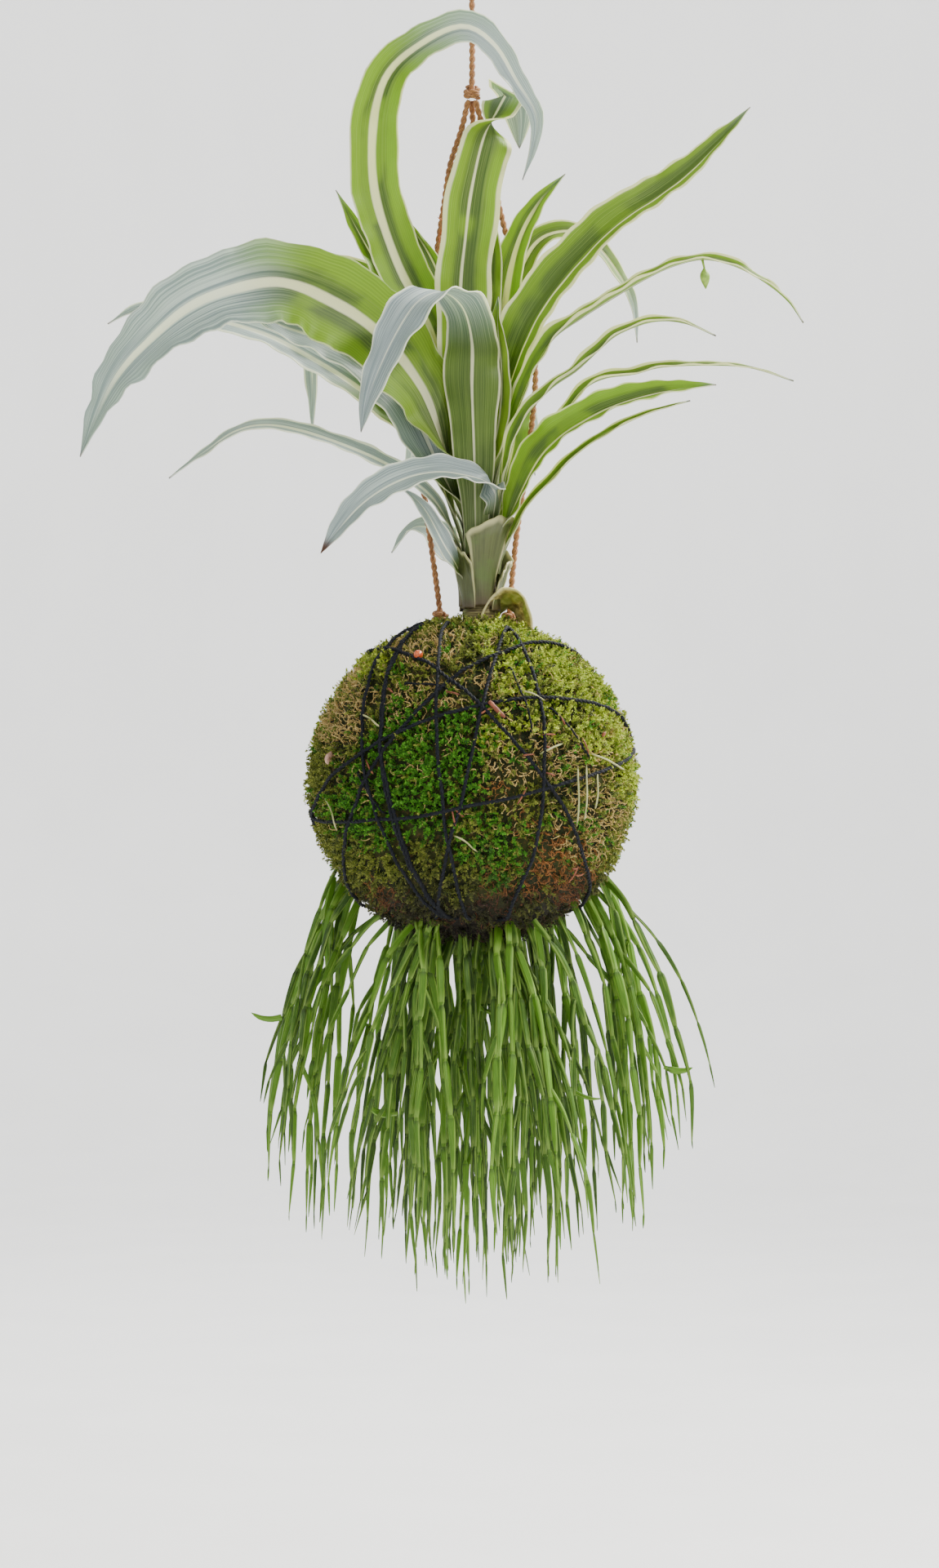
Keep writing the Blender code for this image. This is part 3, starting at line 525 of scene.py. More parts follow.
caneValues = dict(foot=(2.6, 0.0, 34.0), top=(4.5, 0.0, 139.0), radius=8.0, topRadius=4.2,
                  taperFrom=92.0, ringSpacing=5.2, ringStep=0.45, barkFoot=60, barkStep=0.65,
                  barkSink=0.55, barkRough=0.25, sides=28)
leafValues = dict(rows=84, columns=18, thickness=0.5, standOff=1.3, widestShare=0.4,
                  claspShare=0.2, wrapShare=0.17, baseShare=0.42, baseLeast=5.2, ripple=2.1,
                  rippleLength=24.0, sizeFor=25, leastHalf=0.12, foot=(2, 9), gripHeight=138,
                  gripRise=0.03)

# How a blade waves: lobes of its edge, a finer ripple on them, and its sway from side to side
leafWaves = dict(circle=6.28, lobe=1.7, lobeBeat=1.5, fine=0.35, fineBeat=1.7, sway=0.045,
                 swayBeat=0.7, crease=0.22, creaseWidth=0.1, cup=1.35, calmFoot=0.25, calmTip=0.12,
                 reflectionRun=0.16, dryTip=(0.985, 0.015, 0.6), dryFront=(0.93, 0.05, 1.0))

leafTable = {
    "leaf_tall_arching": dict(
        base=(198, 132), width=26, fold=14,
        route=((-10, -1, 172), (-18, -1, 205), (-33, -3, 236), (-43, -7, 265), (-45, -12, 292),
               (-39, -18, 319), (-22, -23, 334), (-4, -25, 341), (10, -24, 333), (20, -22, 317),
               (29, -20, 302), (28, -19, 288), (23, -19, 273)),
        faces=((0.3, -1, 0), (0.1, -0.85, 0.5), (0.2, -0.95, 0.2))),
    "leaf_centre_strap": dict(
        base=(245, 138), width=23, fold=12,
        route=((-4, -5, 175), (-4, -8, 222), (-2, -10, 246), (1, -12, 269), (6, -14, 292),
               (13, -12, 310), (18, -4, 315), (21, 4, 306), (22, 9, 292)),
        faces=((0, -1, 0), (0, -1, 0.1), (0.3, 0.9, 0.3))),
    "leaf_left_behind": dict(
        base=(160, 128), width=19, fold=16,
        route=((-9, 13, 168), (-20, 16, 200), (-36, 17, 226), (-50, 17, 250), (-63, 16, 274)),
        faces=((0.5, -0.9, 0), (0.3, -0.95, 0.2), (0.2, -0.95, 0.3))),
    "leaf_left_inner": dict(
        base=(148, 136), width=17, fold=16,
        route=((-5, 10, 175), (-10, 10, 210), (-18, 10, 238), (-32, 10, 262)),
        faces=((0.2, -1, 0), (0.2, -0.95, 0.2), (0.2, -0.95, 0.2))),
    "leaf_right_inner": dict(
        base=(58, 138), width=18, fold=16,
        route=((5.5, 4.5, 175), (7, 4, 215), (9, 2, 245), (7.5, -1, 271)),
        faces=((-0.4, -0.9, 0), (-0.2, -0.95, 0.1), (0, -1, 0.1))),
    "leaf_right_short": dict(
        base=(98, 134), width=14, fold=16,
        route=((13, 12, 175), (14, 11, 215), (20, 9, 246), (30, 8, 266), (43, 7, 280)),
        faces=((-0.3, -0.9, 0.1), (-0.3, -0.9, 0.3), (-0.3, -0.9, 0.4))),
    "leaf_back_right_arch": dict(
        base=(42, 125), width=13, fold=18,
        route=((12, 24, 170), (15, 33, 215), (28, 40, 250), (44, 44, 259), (57, 46, 254),
               (68, 47, 241), (76, 47, 226), (78, 47, 207)),
        faces=((-0.5, -0.8, 0.2), (-0.1, -0.6, 0.8), (0.6, -0.7, 0.3))),
    "leaf_right_long": dict(
        base=(358, 134), width=23, fold=18,
        route=((13, -1, 170), (22, -4, 205), (37, -2, 229), (52, 2, 246), (68, 7, 261),
               (86, 13, 273), (103, 19, 287), (117, 25, 301), (130, 30, 315)),
        faces=((-0.4, -0.9, 0.2), (-0.3, -0.85, 0.4), (-0.3, -0.85, 0.4))),
    "leaf_right_arch_high": dict(
        base=(318, 129), width=16, fold=24,
        route=((20, -11, 168), (28, -16, 187), (37, -19, 201), (50, -23, 210), (63, -26, 218),
               (77, -29, 226), (90, -31, 232), (104, -33, 235), (118, -34, 232), (131, -35, 225),
               (142, -36, 216), (149, -36, 206)),
        faces=((-0.6, -0.7, 0.4), (-0.2, -0.35, 0.95), (0.5, -0.3, 0.85))),
    "leaf_right_arch_middle": dict(
        base=(341, 117), width=13, fold=24,
        route=((20, -21, 158), (34, -26, 176), (47, -31, 185), (57, -34, 194), (66, -37, 201),
               (81, -41, 206), (95, -44, 205), (109, -46, 199)),
        faces=((-0.6, -0.7, 0.4), (-0.2, -0.4, 0.9), (0.3, -0.4, 0.9))),
    "leaf_right_arch_low": dict(
        base=(20, 112), width=10, fold=24,
        route=((26, -2, 143), (38, -4, 161), (50, -6, 178), (60, -8, 184), (74, -9, 186),
               (86, -10, 189), (106, -10, 190), (127, -9, 189), (147, -8, 183)),
        faces=((-0.6, -0.6, 0.5), (-0.1, -0.4, 0.9), (0.2, -0.4, 0.9))),
    "leaf_right_low_broad": dict(
        base=(341, 103), width=18, fold=26,
        route=((27, -17, 142), (38, -24, 155), (52, -30, 164), (66, -35, 170), (82, -40, 174),
               (97, -44, 176), (109, -47, 177)),
        faces=((-0.5, -0.7, 0.5), (-0.3, -0.75, 0.65), (-0.2, -0.7, 0.7))),
    "leaf_right_low_thin": dict(
        base=(350, 95), width=9, fold=20,
        route=((24, -9, 124), (35, -14, 136), (47, -20, 148), (62, -26, 158), (80, -32, 166),
               (98, -37, 171)),
        faces=((-0.5, -0.5, 0.6), (-0.4, -0.5, 0.8), (-0.3, -0.5, 0.8))),
    "leaf_left_broad": dict(
        base=(212, 122), width=40, fold=14,
        route=((-12, -9, 150), (-23, -15, 178), (-44, -23, 203), (-65, -30, 216),
               (-85, -36, 223), (-105, -41, 220), (-124, -46, 212), (-141, -50, 198),
               (-159, -54, 177), (-174, -56, 144)),
        faces=((0.5, -0.8, 0.2), (0.1, -0.95, 0.28), (-0.6, -0.7, 0.2))),
    "leaf_left_under": dict(
        base=(195, 114), width=24, fold=16,
        route=((-16, -2, 146), (-28, -4, 170), (-47, -8, 190), (-68, -11, 201), (-88, -14, 208),
               (-105, -17, 219)),
        faces=((0.5, -0.8, 0.3), (0.1, -0.8, 0.6), (0.1, -0.8, 0.6))),
    "leaf_left_pale": dict(
        base=(188, 105), width=17, fold=18,
        route=((-20, 1, 150), (-34, 3, 166), (-50, 4, 179), (-68, 4, 191), (-90, 3, 203),
               (-110, 3, 210), (-131, 4, 215), (-152, 6, 218), (-168, 8, 211)),
        faces=((0.6, -0.6, 0.5), (0.2, -0.8, 0.6), (-0.3, -0.7, 0.7))),
    "leaf_left_low_thin": dict(
        base=(190, 100), width=10, fold=14,
        route=((-17, -6, 128), (-30, -8, 139), (-44, -10, 147), (-61, -12, 154), (-80, -13, 160),
               (-95, -14, 162), (-108, -14, 159), (-120, -14, 151), (-131, -14, 143),
               (-138, -14, 138)),
        faces=((0.5, -0.6, 0.6), (0.1, -0.6, 0.8), (-0.5, -0.5, 0.7))),
    "leaf_front_low": dict(
        base=(304, 111), width=18, fold=16,
        route=((9, -19, 134), (-8, -28, 139), (-22, -37, 138), (-35, -45, 133), (-48, -52, 124),
               (-58, -57, 113), (-67, -60, 101)),
        faces=((-0.3, -0.5, 0.8), (-0.2, -0.7, 0.7), (-0.5, -0.8, 0.3))),
    "leaf_front_folded": dict(
        base=(258, 104), width=28, fold=10,
        route=((1, -15, 150), (0, -17, 180), (0, -20, 200), (-4, -28, 214), (-13, -42, 219),
               (-24, -55, 213), (-33, -62, 199), (-41, -65, 182), (-46, -66, 168),
               (-49, -66, 154)),
        faces=((0, 1, 0), (0, -0.1, 1), (-0.3, -0.9, 0.2))),
    "leaf_centre_wavy": dict(
        base=(288, 134), width=16, fold=14,
        route=((10, -9.5, 160), (12, -10, 185), (11, -11, 205), (12, -13, 221)),
        faces=((-0.4, -0.9, 0), (-0.3, -0.95, 0), (-0.3, -0.9, 0.2))),
    "leaf_back_left_curl": dict(
        base=(153, 111), width=13, fold=16,
        route=((-17, 29, 152), (-27, 36, 170), (-36, 35, 184), (-43, 33, 190)),
        faces=((0.5, -0.8, 0.2), (0.4, -0.9, 0.2), (0.3, -0.9, 0.3))),
    "leaf_back_left_arch": dict(
        base=(138, 119), width=14, fold=18,
        route=((-15, 18, 156), (-20, 38, 208), (-42, 42, 231), (-60, 43, 241), (-72, 43, 236),
               (-77, 43, 216), (-75, 43, 192), (-75, 43, 163)),
        faces=((0.6, -0.7, 0.2), (0.1, -0.7, 0.7), (-0.5, -0.8, 0.2))),
    "leaf_back_left_low": dict(
        base=(142, 86), width=14, fold=14,
        route=((-9, 24, 104), (-17, 36, 117), (-28, 43, 119), (-38, 49, 108)),
        faces=((0.6, -0.5, 0.5), (0, -0.5, 0.9), (-0.5, -0.4, 0.7))),
    "leaf_left_short": dict(
        base=(208, 88), width=11, fold=14,
        route=((-13, -14, 108), (-22, -20, 124), (-32, -24, 133)),
        faces=((0.5, -0.7, 0.4), (0.3, -0.8, 0.5), (0.2, -0.8, 0.6))),
    "leaf_back_high": dict(
        base=(92, 130), width=18, fold=16,
        route=((-5, 28, 168), (-7, 46, 196), (-9, 68, 208), (-12, 88, 205), (-15, 106, 190),
               (-17, 118, 166)),
        faces=((0, -0.9, 0.3), (0, -0.3, 1), (0, 0.8, 0.5))),
    "leaf_back_right": dict(
        base=(65, 110), width=18, fold=16,
        route=((17, 29, 148), (21, 50, 170), (24, 74, 178), (28, 96, 170), (31, 114, 150)),
        faces=((-0.2, -0.8, 0.5), (-0.1, -0.2, 1), (0.2, 0.8, 0.5))),
    "leaf_back_left": dict(
        base=(112, 106), width=18, fold=16,
        route=((-8, 33, 136), (-15, 54, 160), (-22, 76, 170), (-28, 96, 163), (-32, 110, 143)),
        faces=((0.2, -0.8, 0.5), (0.1, -0.2, 1), (-0.2, 0.8, 0.5))),
    "leaf_back_low": dict(
        base=(78, 90), width=9, fold=16,
        route=((-3, 31, 114), (-3, 50, 126), (-3, 70, 122), (-3, 86, 106)),
        faces=((0, -0.8, 0.5), (0, -0.2, 1), (0, 0.7, 0.7))),
}

# Finish of each leaf, where it isn't the usual: bloom is the share of its length where
# the painted blue-grey reflection of the sky begins (1 is never), lime the strength of its lime
# bands, stripe and edge the pale midrib's and margins' widths as shares of the half width, shift
# how far the pale midrib lies off the middle; wide broadens a blade and taper says how late it
# narrows to its tip
leafUsual = dict(bloom=1.0, lime=0.9, stripe=0.1, edge=0.12, shift=0.0, wide=1.0, taper=3.2)
leafFinish = {
    "leaf_tall_arching": dict(bloom=0.7, lime=0.95, stripe=0.17, edge=0.1, shift=-0.05),
    "leaf_centre_strap": dict(bloom=0.85, lime=0.95, stripe=0.05, edge=0.22, shift=-0.1,
                              wide=1.12, taper=11.0),
    "leaf_left_behind": dict(),
    "leaf_left_inner": dict(lime=0.95, edge=0.14, shift=0.2),
    "leaf_right_inner": dict(stripe=0.09, edge=0.16, shift=-0.3),
    "leaf_right_short": dict(lime=1.0, stripe=0.2, shift=0.1, wide=1.4, taper=4.5),
    "leaf_back_right_arch": dict(bloom=0.9, lime=0.6, stripe=0.16, edge=0.18, wide=1.2, taper=4.5),
    "leaf_right_long": dict(lime=0.65, stripe=0.04, edge=0.2, shift=0.5, wide=1.05, taper=4.0),
    "leaf_right_arch_high": dict(lime=0.7, stripe=0.08, edge=0.26, shift=0.3),
    "leaf_right_arch_middle": dict(lime=0.55, edge=0.28, shift=0.2),
    "leaf_right_arch_low": dict(lime=0.45, stripe=0.12, edge=0.32),
    "leaf_right_low_broad": dict(lime=1.0, stripe=0.12, shift=0.2, wide=1.2, taper=4.5),
    "leaf_right_low_thin": dict(lime=0.5, edge=0.3),
    "leaf_left_broad": dict(bloom=0.56, lime=0.85, stripe=0.12, edge=0.06, shift=0.05,
                            wide=1.12, taper=4.2),
    "leaf_left_under": dict(bloom=0.22, lime=0.35, stripe=0.07, edge=0.1, wide=1.35, taper=4.5),
    "leaf_left_pale": dict(bloom=0.45, lime=0.5, stripe=0.16, edge=0.2, wide=1.2, taper=4.5),
    "leaf_left_low_thin": dict(bloom=0.12, lime=0.3, stripe=0.2, edge=0.24, wide=1.25, taper=4.5),
    "leaf_front_low": dict(bloom=0.14, lime=0.2, stripe=0.06, edge=0.1, wide=1.2, taper=5.0),
    "leaf_front_folded": dict(bloom=0.5, lime=0.12, stripe=0.04, edge=0.13, wide=0.92, taper=6.0),
    "leaf_centre_wavy": dict(stripe=0.05, edge=0.14, shift=0.3),
    "leaf_back_left_curl": dict(lime=0.6, stripe=0.12, edge=0.14),
    "leaf_back_left_arch": dict(bloom=0.7, lime=0.45, stripe=0.18, edge=0.2, wide=1.2, taper=4.5),
    "leaf_back_left_low": dict(bloom=0.1, lime=0.2, stripe=0.06, wide=1.3, taper=4.5),
    "leaf_left_short": dict(bloom=0.25, lime=0.25, edge=0.16),
    "leaf_back_high": dict(bloom=0.55, lime=0.8, stripe=0.14),
    "leaf_back_right": dict(bloom=0.6, lime=0.85, stripe=0.13),
    "leaf_back_left": dict(bloom=0.55, lime=0.7, stripe=0.14, edge=0.14),
    "leaf_back_low": dict(bloom=0.5, lime=0.5, stripe=0.12, edge=0.2),
}


def ease(value):
    value = min(max(value, 0.0), 1.0)
    return value * value * (3 - 2 * value)


def caneAxis(height):
    foot, top = Vector(caneValues["foot"]), Vector(caneValues["top"])
    return foot.lerp(top, (height - foot.z) / (top.z - foot.z))


def caneRadius(height):
    start = caneValues["taperFrom"]
    share = max(height - start, 0) / (caneValues["top"][2] - start)
    return caneValues["radius"] + (caneValues["topRadius"] - caneValues["radius"]) * share


def leafLook(share, faces, direction, out):
    base, middle, tip = (Vector(f).normalized() for f in faces)
    if share < 0.5:
        look = base.lerp(middle, share * 2)
    else:
        look = middle.lerp(tip, share * 2 - 1)
    look = (-out).lerp(look, min(share / leafValues["claspShare"], 1.0))
    look -= direction * look.dot(direction)
    return look.normalized()


def leafHalfWidth(share, width, wide, taper):
    base = max(leafValues["baseLeast"], width * leafValues["baseShare"])
    body = base + (width * wide - base) * ease(share / leafValues["widestShare"])
    return body / 2 * max(1 - share ** taper, 0.0)


def addLeaf(shape, name):
    leaf = leafTable[name]
    finish = {**leafUsual, **leafFinish[name]}
    rows, columns = leafValues["rows"], leafValues["columns"]
    wave = leafWaves
    chance = random.Random(name)
    azimuth, height = math.radians(leaf["base"][0]), leaf["base"][1]
    out = heading(azimuth)
    start = caneAxis(height) + out * (caneRadius(height) + leafValues["standOff"])
    ahead, rise = leafValues["foot"]
    second = start + out * ahead + Vector((0, 0, rise))
    midrib = smoothRoute((start, second, *leaf["route"]), rows + 1)
    length = routeLength(midrib)
    fold = math.radians(leaf["fold"])
    size = leaf["width"] / leafValues["sizeFor"]
    phases = [chance.uniform(0, wave["circle"]) for side in range(4)]
    waves = length / leafValues["rippleLength"] * chance.uniform(0.85, 1.15)
    points, uvs, tags = [], [], dict(bloom=[], lime=[], stripe=[], edge=[], shift=[], dry=[])
    for row in range(rows + 1):
        share = row / rows
        direction = (midrib[min(row + 1, rows)] - midrib[max(row - 1, 0)]).normalized()
        look = leafLook(share, leaf["faces"], direction, out)
        across = direction.cross(look)
        half = leafHalfWidth(share, leaf["width"], finish["wide"], finish["taper"])
        half = max(half, leafValues["leastHalf"])
        wrap = 1 - ease(share / leafValues["wrapShare"])
        grip = caneRadius(midrib[row].z) + leafValues["standOff"]
        grip += (leafValues["gripHeight"] - height) * leafValues["gripRise"]
        calm = ease(share / wave["calmFoot"]) * ease((1 - share) / wave["calmTip"])
        beat = wave["circle"] * waves * share
        for column in range(columns + 1):
            u = 2 * column / columns - 1
            side = 0 if u < 0 else 2
            lobe = noise.noise(Vector((share * waves * wave["lobeBeat"], phases[side], 0)))
            fine = math.sin(beat * wave["fineBeat"] + phases[side + 1])
            ripple = wave["lobe"] * lobe + wave["fine"] * fine
            sway = wave["sway"] * calm * math.sin(beat * wave["swayBeat"] + phases[side])
            lateral = half * u * (1 + sway)
            lift = abs(u) ** wave["cup"] * half * math.sin(fold)
            lift += ripple * leafValues["ripple"] * size * calm * abs(u) ** 3
            lift -= wave["crease"] * math.exp(-(u / wave["creaseWidth"]) ** 2)
            free = midrib[row] + across * lateral * math.cos(fold) + look * lift
            turn = -lateral / grip
            away = Vector((out.x * math.cos(turn) - out.y * math.sin(turn),
                           out.x * math.sin(turn) + out.y * math.cos(turn), 0))
            axis = midrib[row] - out * grip
            held = axis + away * grip
            points.append(free.lerp(held, wrap))
            uvs.append((column / columns, share))
        for key in ("lime", "stripe", "edge", "shift"):
            tags[key] += [finish[key]] * (columns + 1)
        # painted reflection of the sky: blue-grey from the given share of the blade's length on to
        # its tip
        tags["bloom"] += [ease((share - finish["bloom"]) / wave["reflectionRun"] + 0.5)] * (columns + 1)
        start, run, most = wave["dryFront" if name == "leaf_front_low" else "dryTip"]
        tags["dry"] += [ease((share - start) / run) * most] * (columns + 1)
    shape.add(points, gridFaces(rows, columns), uvs, **tags)


def paintLeaf(net):
    both = net.uv("skin")
    along = both.out("Y")
    across = (both.out("X") - 0.5) * 2
    wander = (net.noise(net.place(), 45, 2) - 0.5) * 0.16
    off = net.maths("ABSOLUTE", across)
    fromRib = net.maths("ABSOLUTE", across - net.attribute("shift") * net.step(along, 0.02, 0.3))
    vein = net.noise(net.stretched(across * 26, along * 2.5), 1.0, 2, 0.5)
    fine = net.maths("SINE", across * 92 + vein * 3)
    blotch = net.noise(net.place(), 28, 2)
    limeBand = net.step(off + wander * 2, 0.3, 0.62) * net.attribute("lime")
    limeBand = net.maths("MAXIMUM", limeBand,
                         net.step(blotch, 0.5, 0.62) * net.attribute("lime") * 0.75)
    colour = net.mix(net.step(vein, 0.35, 0.65), (0.085, 0.15, 0.028), (0.165, 0.25, 0.055))
    colour = net.mix(limeBand, colour, (0.3, 0.5, 0.02))
    colour = net.mix(net.step(vein, 0.52, 0.72) * 0.35, colour, (0.42, 0.58, 0.1))
    colour = net.mix((fine * 0.5 + 0.5) * 0.26, colour, (0.06, 0.115, 0.012))
    edge = net.attribute("edge")
    pale = net.step(off + wander * 0.5, 1.02 - edge, 1.09 - edge)
    rib = 1 - net.step(fromRib + wander * 0.35, net.attribute("stripe") * 0.75,
                       net.attribute("stripe") * 1.15 + 0.015)
    rib = rib * net.step(1 - along, 0.03, 0.2)
    white = net.maths("MAXIMUM", pale, rib)
    # painted reflection of the sky: the blade turns blue-grey where it is set, and its pale stripes
    # turn grey-white there
    bloom = net.attribute("bloom")
    skyReflectionColour = net.mix(net.step(vein, 0.4, 0.66), (0.3, 0.37, 0.43), (0.64, 0.7, 0.79))
    colour = net.mix(bloom * 0.92, colour, skyReflectionColour)
    colour = net.mix(white, colour, net.mix(bloom, (0.8, 0.79, 0.54), (0.86, 0.86, 0.86)))
    foot = 1 - net.step(along, 0.02, 0.3)
    colour = net.mix(foot * 0.6, colour, net.mix(net.step(vein, 0.4, 0.65), (0.09, 0.115, 0.04),
                                                  (0.3, 0.33, 0.17)))
    colour = net.mix(net.attribute("dry"), colour, (0.13, 0.06, 0.035))
    height = vein * 0.7 + fine * 0.12 + blotch * 0.3
    return net.skin(colour, 0.42 + vein * 0.18 - bloom * 0.04, height, 0.45, 0.35)


leafBlade = newMaterial("variegatedBlade", paintLeaf, {"share": 0.36, "tint": (1.25, 1.35, 0.75)},
                        **{"Specular IOR Level": 0.4})


def makeLeaves():
    for name in leafTable:
        shape = Shape()
        addLeaf(shape, name)
        blade = walled(shape, pieceName(name), leafBlade, leafValues["thickness"])
        blade.data.set_sharp_from_angle(angle=math.radians(60))
        ready(blade, "leaf", name)


makeLeaves()
print("leaves done")


def paintCane(net):
    both = net.uv("skin")
    rings = net.noise(net.stretched(both.out("X") * 5, both.out("Y") * 1.2), 1.0, 4)
    patch = net.noise(net.place((1, 1, 0.5)), 110, 3)
    colour = net.mix(net.step(rings, 0.35, 0.7), (0.075, 0.052, 0.022), (0.26, 0.23, 0.085))
    colour = net.mix(net.step(patch, 0.52, 0.7), colour, (0.17, 0.22, 0.05))
    return net.skin(colour, 0.5 + patch * 0.3, rings + patch * 0.5, 0.7, 0.5)


def makeCane():
    # ringed by the scars of fallen leaves: each ring flares, then steps back in
    value = caneValues
    finish = newMaterial("caneBark", paintCane, **{"Specular IOR Level": 0.4})
    count = int((value["top"][2] - value["barkFoot"]) / value["barkStep"]) + 1
    heights = [value["barkFoot"] + value["barkStep"] * i for i in range(count)]
    radii = []
    for h in heights:
        ring = (h / value["ringSpacing"]) % 1.0
        radii.append(caneRadius(h) - value["barkSink"] + value["ringStep"] * ring ** 2
                     + value["barkRough"] * noise.noise(Vector((0, 0, h * 0.6))))
    radii[-1] *= 0.4
    shape = Shape()
    addTube(shape, [caneAxis(h) for h in heights], radii, value["sides"])
    ready(shape.piece("dracaenaCane", finish), "cane", "dracaena_cane")


# Torn bases of old leaves: azimuth, foot and height, half spread at foot and top, lean and flare
sheathValues = dict(rows=30, columns=22, thickness=0.7, standOff=1.2)
oldBases = (
    dict(azimuth=281, foot=80, height=40, spreads=(24, 50), lean=14, flare=6.5, tear=4),
    dict(azimuth=232, foot=79, height=27, spreads=(26, 30), lean=-8, flare=4, tear=-3),
    dict(azimuth=334, foot=78, height=22, spreads=(24, 26), lean=6, flare=3.6, tear=3),
    dict(azimuth=183, foot=80, height=31, spreads=(24, 27), lean=-6, flare=5, tear=2),
    dict(azimuth=38, foot=79, height=29, spreads=(26, 34), lean=5, flare=4.6, tear=3),
    dict(azimuth=92, foot=80, height=25, spreads=(25, 32), lean=-4, flare=4.2, tear=-3),
    dict(azimuth=138, foot=78, height=33, spreads=(25, 30), lean=4, flare=5.2, tear=2),
)


def paintSheath(net):
    both = net.uv("skin")
    rim = net.maths("ABSOLUTE", both.out("X") * 2 - 1)
    grain = net.noise(net.stretched(both.out("X") * 22, both.out("Y") * 2), 1.0, 3)
    patch = net.noise(net.place(), 90, 3)
    colour = net.mix(grain, (0.036, 0.048, 0.012), (0.165, 0.19, 0.06))
    colour = net.mix(net.step(patch, 0.5, 0.7) * 0.6, colour, (0.1, 0.16, 0.028))
    edge = net.maths("MAXIMUM", net.step(rim, 0.86, 0.97), net.step(both.out("Y"), 0.9, 0.98))
    colour = net.mix(edge * 0.8, colour, (0.62, 0.6, 0.3))
    foot = 1 - net.step(both.out("Y"), 0.0, 0.3)
    colour = net.mix(foot * 0.8, colour, (0.085, 0.05, 0.024))
    return net.skin(colour, 0.28 + patch * 0.25, grain, 0.6, 0.4)


def addOldBase(shape, old):
    value = sheathValues
    rows, columns = value["rows"], value["columns"]
    points, uvs = [], []
    for row in range(rows + 1):
        up = row / rows
        for column in range(columns + 1):
            side = 2 * column / columns - 1
            ragged = 1.8 * noise.noise(Vector((side * 3, old["azimuth"], 0))) * up
            height = old["height"] + old["tear"] * side - 3.5 * side * side
            height = old["foot"] + up * height + ragged
            low, high = old["spreads"]
            turn = old["azimuth"] + old["lean"] * up + side * (low + (high - low) * up)
            angle = math.radians(turn)
            rim = 1.6 * ease((up - 0.8) / 0.2) + 1.2 * up * abs(side) ** 3
            rim += 0.5 * math.sin(up * 7 + side * 3) * abs(side)
            reach = caneRadius(height) + value["standOff"] + old["flare"] * up * up + rim
            points.append(caneAxis(height) + heading(angle) * reach)
            uvs.append((column / columns, up))
    shape.add(points, gridFaces(rows, columns), uvs)


def makeSheath():
    finish = newMaterial("oldLeafSkin", paintSheath, {"share": 0.2, "tint": (1.2, 1.2, 0.7)},
                         **{"Coat Weight": 0.15, "Coat Roughness": 0.3})
    shape = Shape()
    for old in oldBases:
        addOldBase(shape, old)
    bases = walled(shape, "oldLeafBases", finish, sheathValues["thickness"])
    ready(bases, "cane", "old_leaf_sheath")


makeCane()
makeSheath()
print("cane done")


# Trailing stems

stemValues = dict(rootDepth=2.0, radius=2.5, points=7, seed=41, drop=241.0,
                  reach=104.0, rise=62.0, dropSpread=16.0, rootSpread=(0.5, 3.5), bendPower=1.9,
                  fallPower=1.25, wave=1.2, waveAngle=5.0, swayAngle=3.0,
                  segment=23.0, zigzag=0.9, step=1.8, sides=8, branches=(0, 2),
                  girth=(0.68, 0.92), branchLength=(42, 88), branchGirth=(0.45, 0.65))

# The shape of one joint, and of a stem's tip: least and further swelling, how it fades and how
# short its foot is, how far the stem thins, and how each joint turns on the one above it
jointValues = dict(least=0.5, swell=0.5, fade=0.35, foot=0.12, thinning=0.84, thinPower=4,
                   leastRadius=0.25, tip=0.15, turn=1.25, twist=0.5, ridge=0.42, start=10)

# Straggling stems of each crown; under tells the side ones from those under the ball, frontPolar
# is where the front ones start, and none hangs further to the front than frontLimit
strayValues = dict(count=11, polar=(120, 168), spread=46, under=150, frontPolar=154,
                   frontLimit=-70, sideReach=(0.48, 0.98), underReach=(0.15, 0.85), dropSpread=40,
                   swing=18, bend=0.38, arch=0.16, rise=12, sway=5, girth=(0.5, 0.78),
                   age=(0.35, 1.0))

stemCrowns = {
    "stems_left": dict(azimuth=168, polar=131, sector=(146, 197), reach=(0.62, 1.0), count=9),
    "stems_right": dict(azimuth=12, polar=131, sector=(-17, 34), reach=(0.62, 1.0), count=9),
    "stems_back_left": dict(azimuth=126, polar=137, sector=(110, 142), reach=(0.45, 0.85), count=8),
    "stems_back": dict(azimuth=90, polar=146, sector=(75, 105), reach=(0.4, 0.8), count=8),
    "stems_back_right": dict(azimuth=54, polar=137, sector=(38, 70), reach=(0.45, 0.85), count=8),
    "stems_front_left": dict(azimuth=228, polar=156, sector=(203, 266), reach=(0.36, 0.78),
                             count=10),
    "stems_front_right": dict(azimuth=312, polar=156, sector=(274, 337), reach=(0.36, 0.78),
                              count=10),
    "stems_middle": dict(azimuth=270, polar=180, sector=(0, 315), reach=(0.06, 0.17), count=8),
}

# Short shoots that stand off to the side, from and to
sideShoots = (
    ("stems_left", (-87, -6, -108), (-101, -8, -106)),
    ("stems_right", (88, -4, -131), (101, -6, -131)),
    ("stems_front_right", (44, -26, -139), (59, -34, -143)),
    ("stems_middle", (0, -14, -101), (16, -24, -106)),
    ("stems_front_left", (-34, -30, -150), (-47, -36, -146)),
    ("stems_back", (12, 52, -128), (24, 64, -126)),
)


def onBall(azimuth, polar, radius):
    a, p = math.radians(azimuth), math.radians(polar)
    return radius * Vector((math.sin(p) * math.cos(a), math.sin(p) * math.sin(a), math.cos(p)))


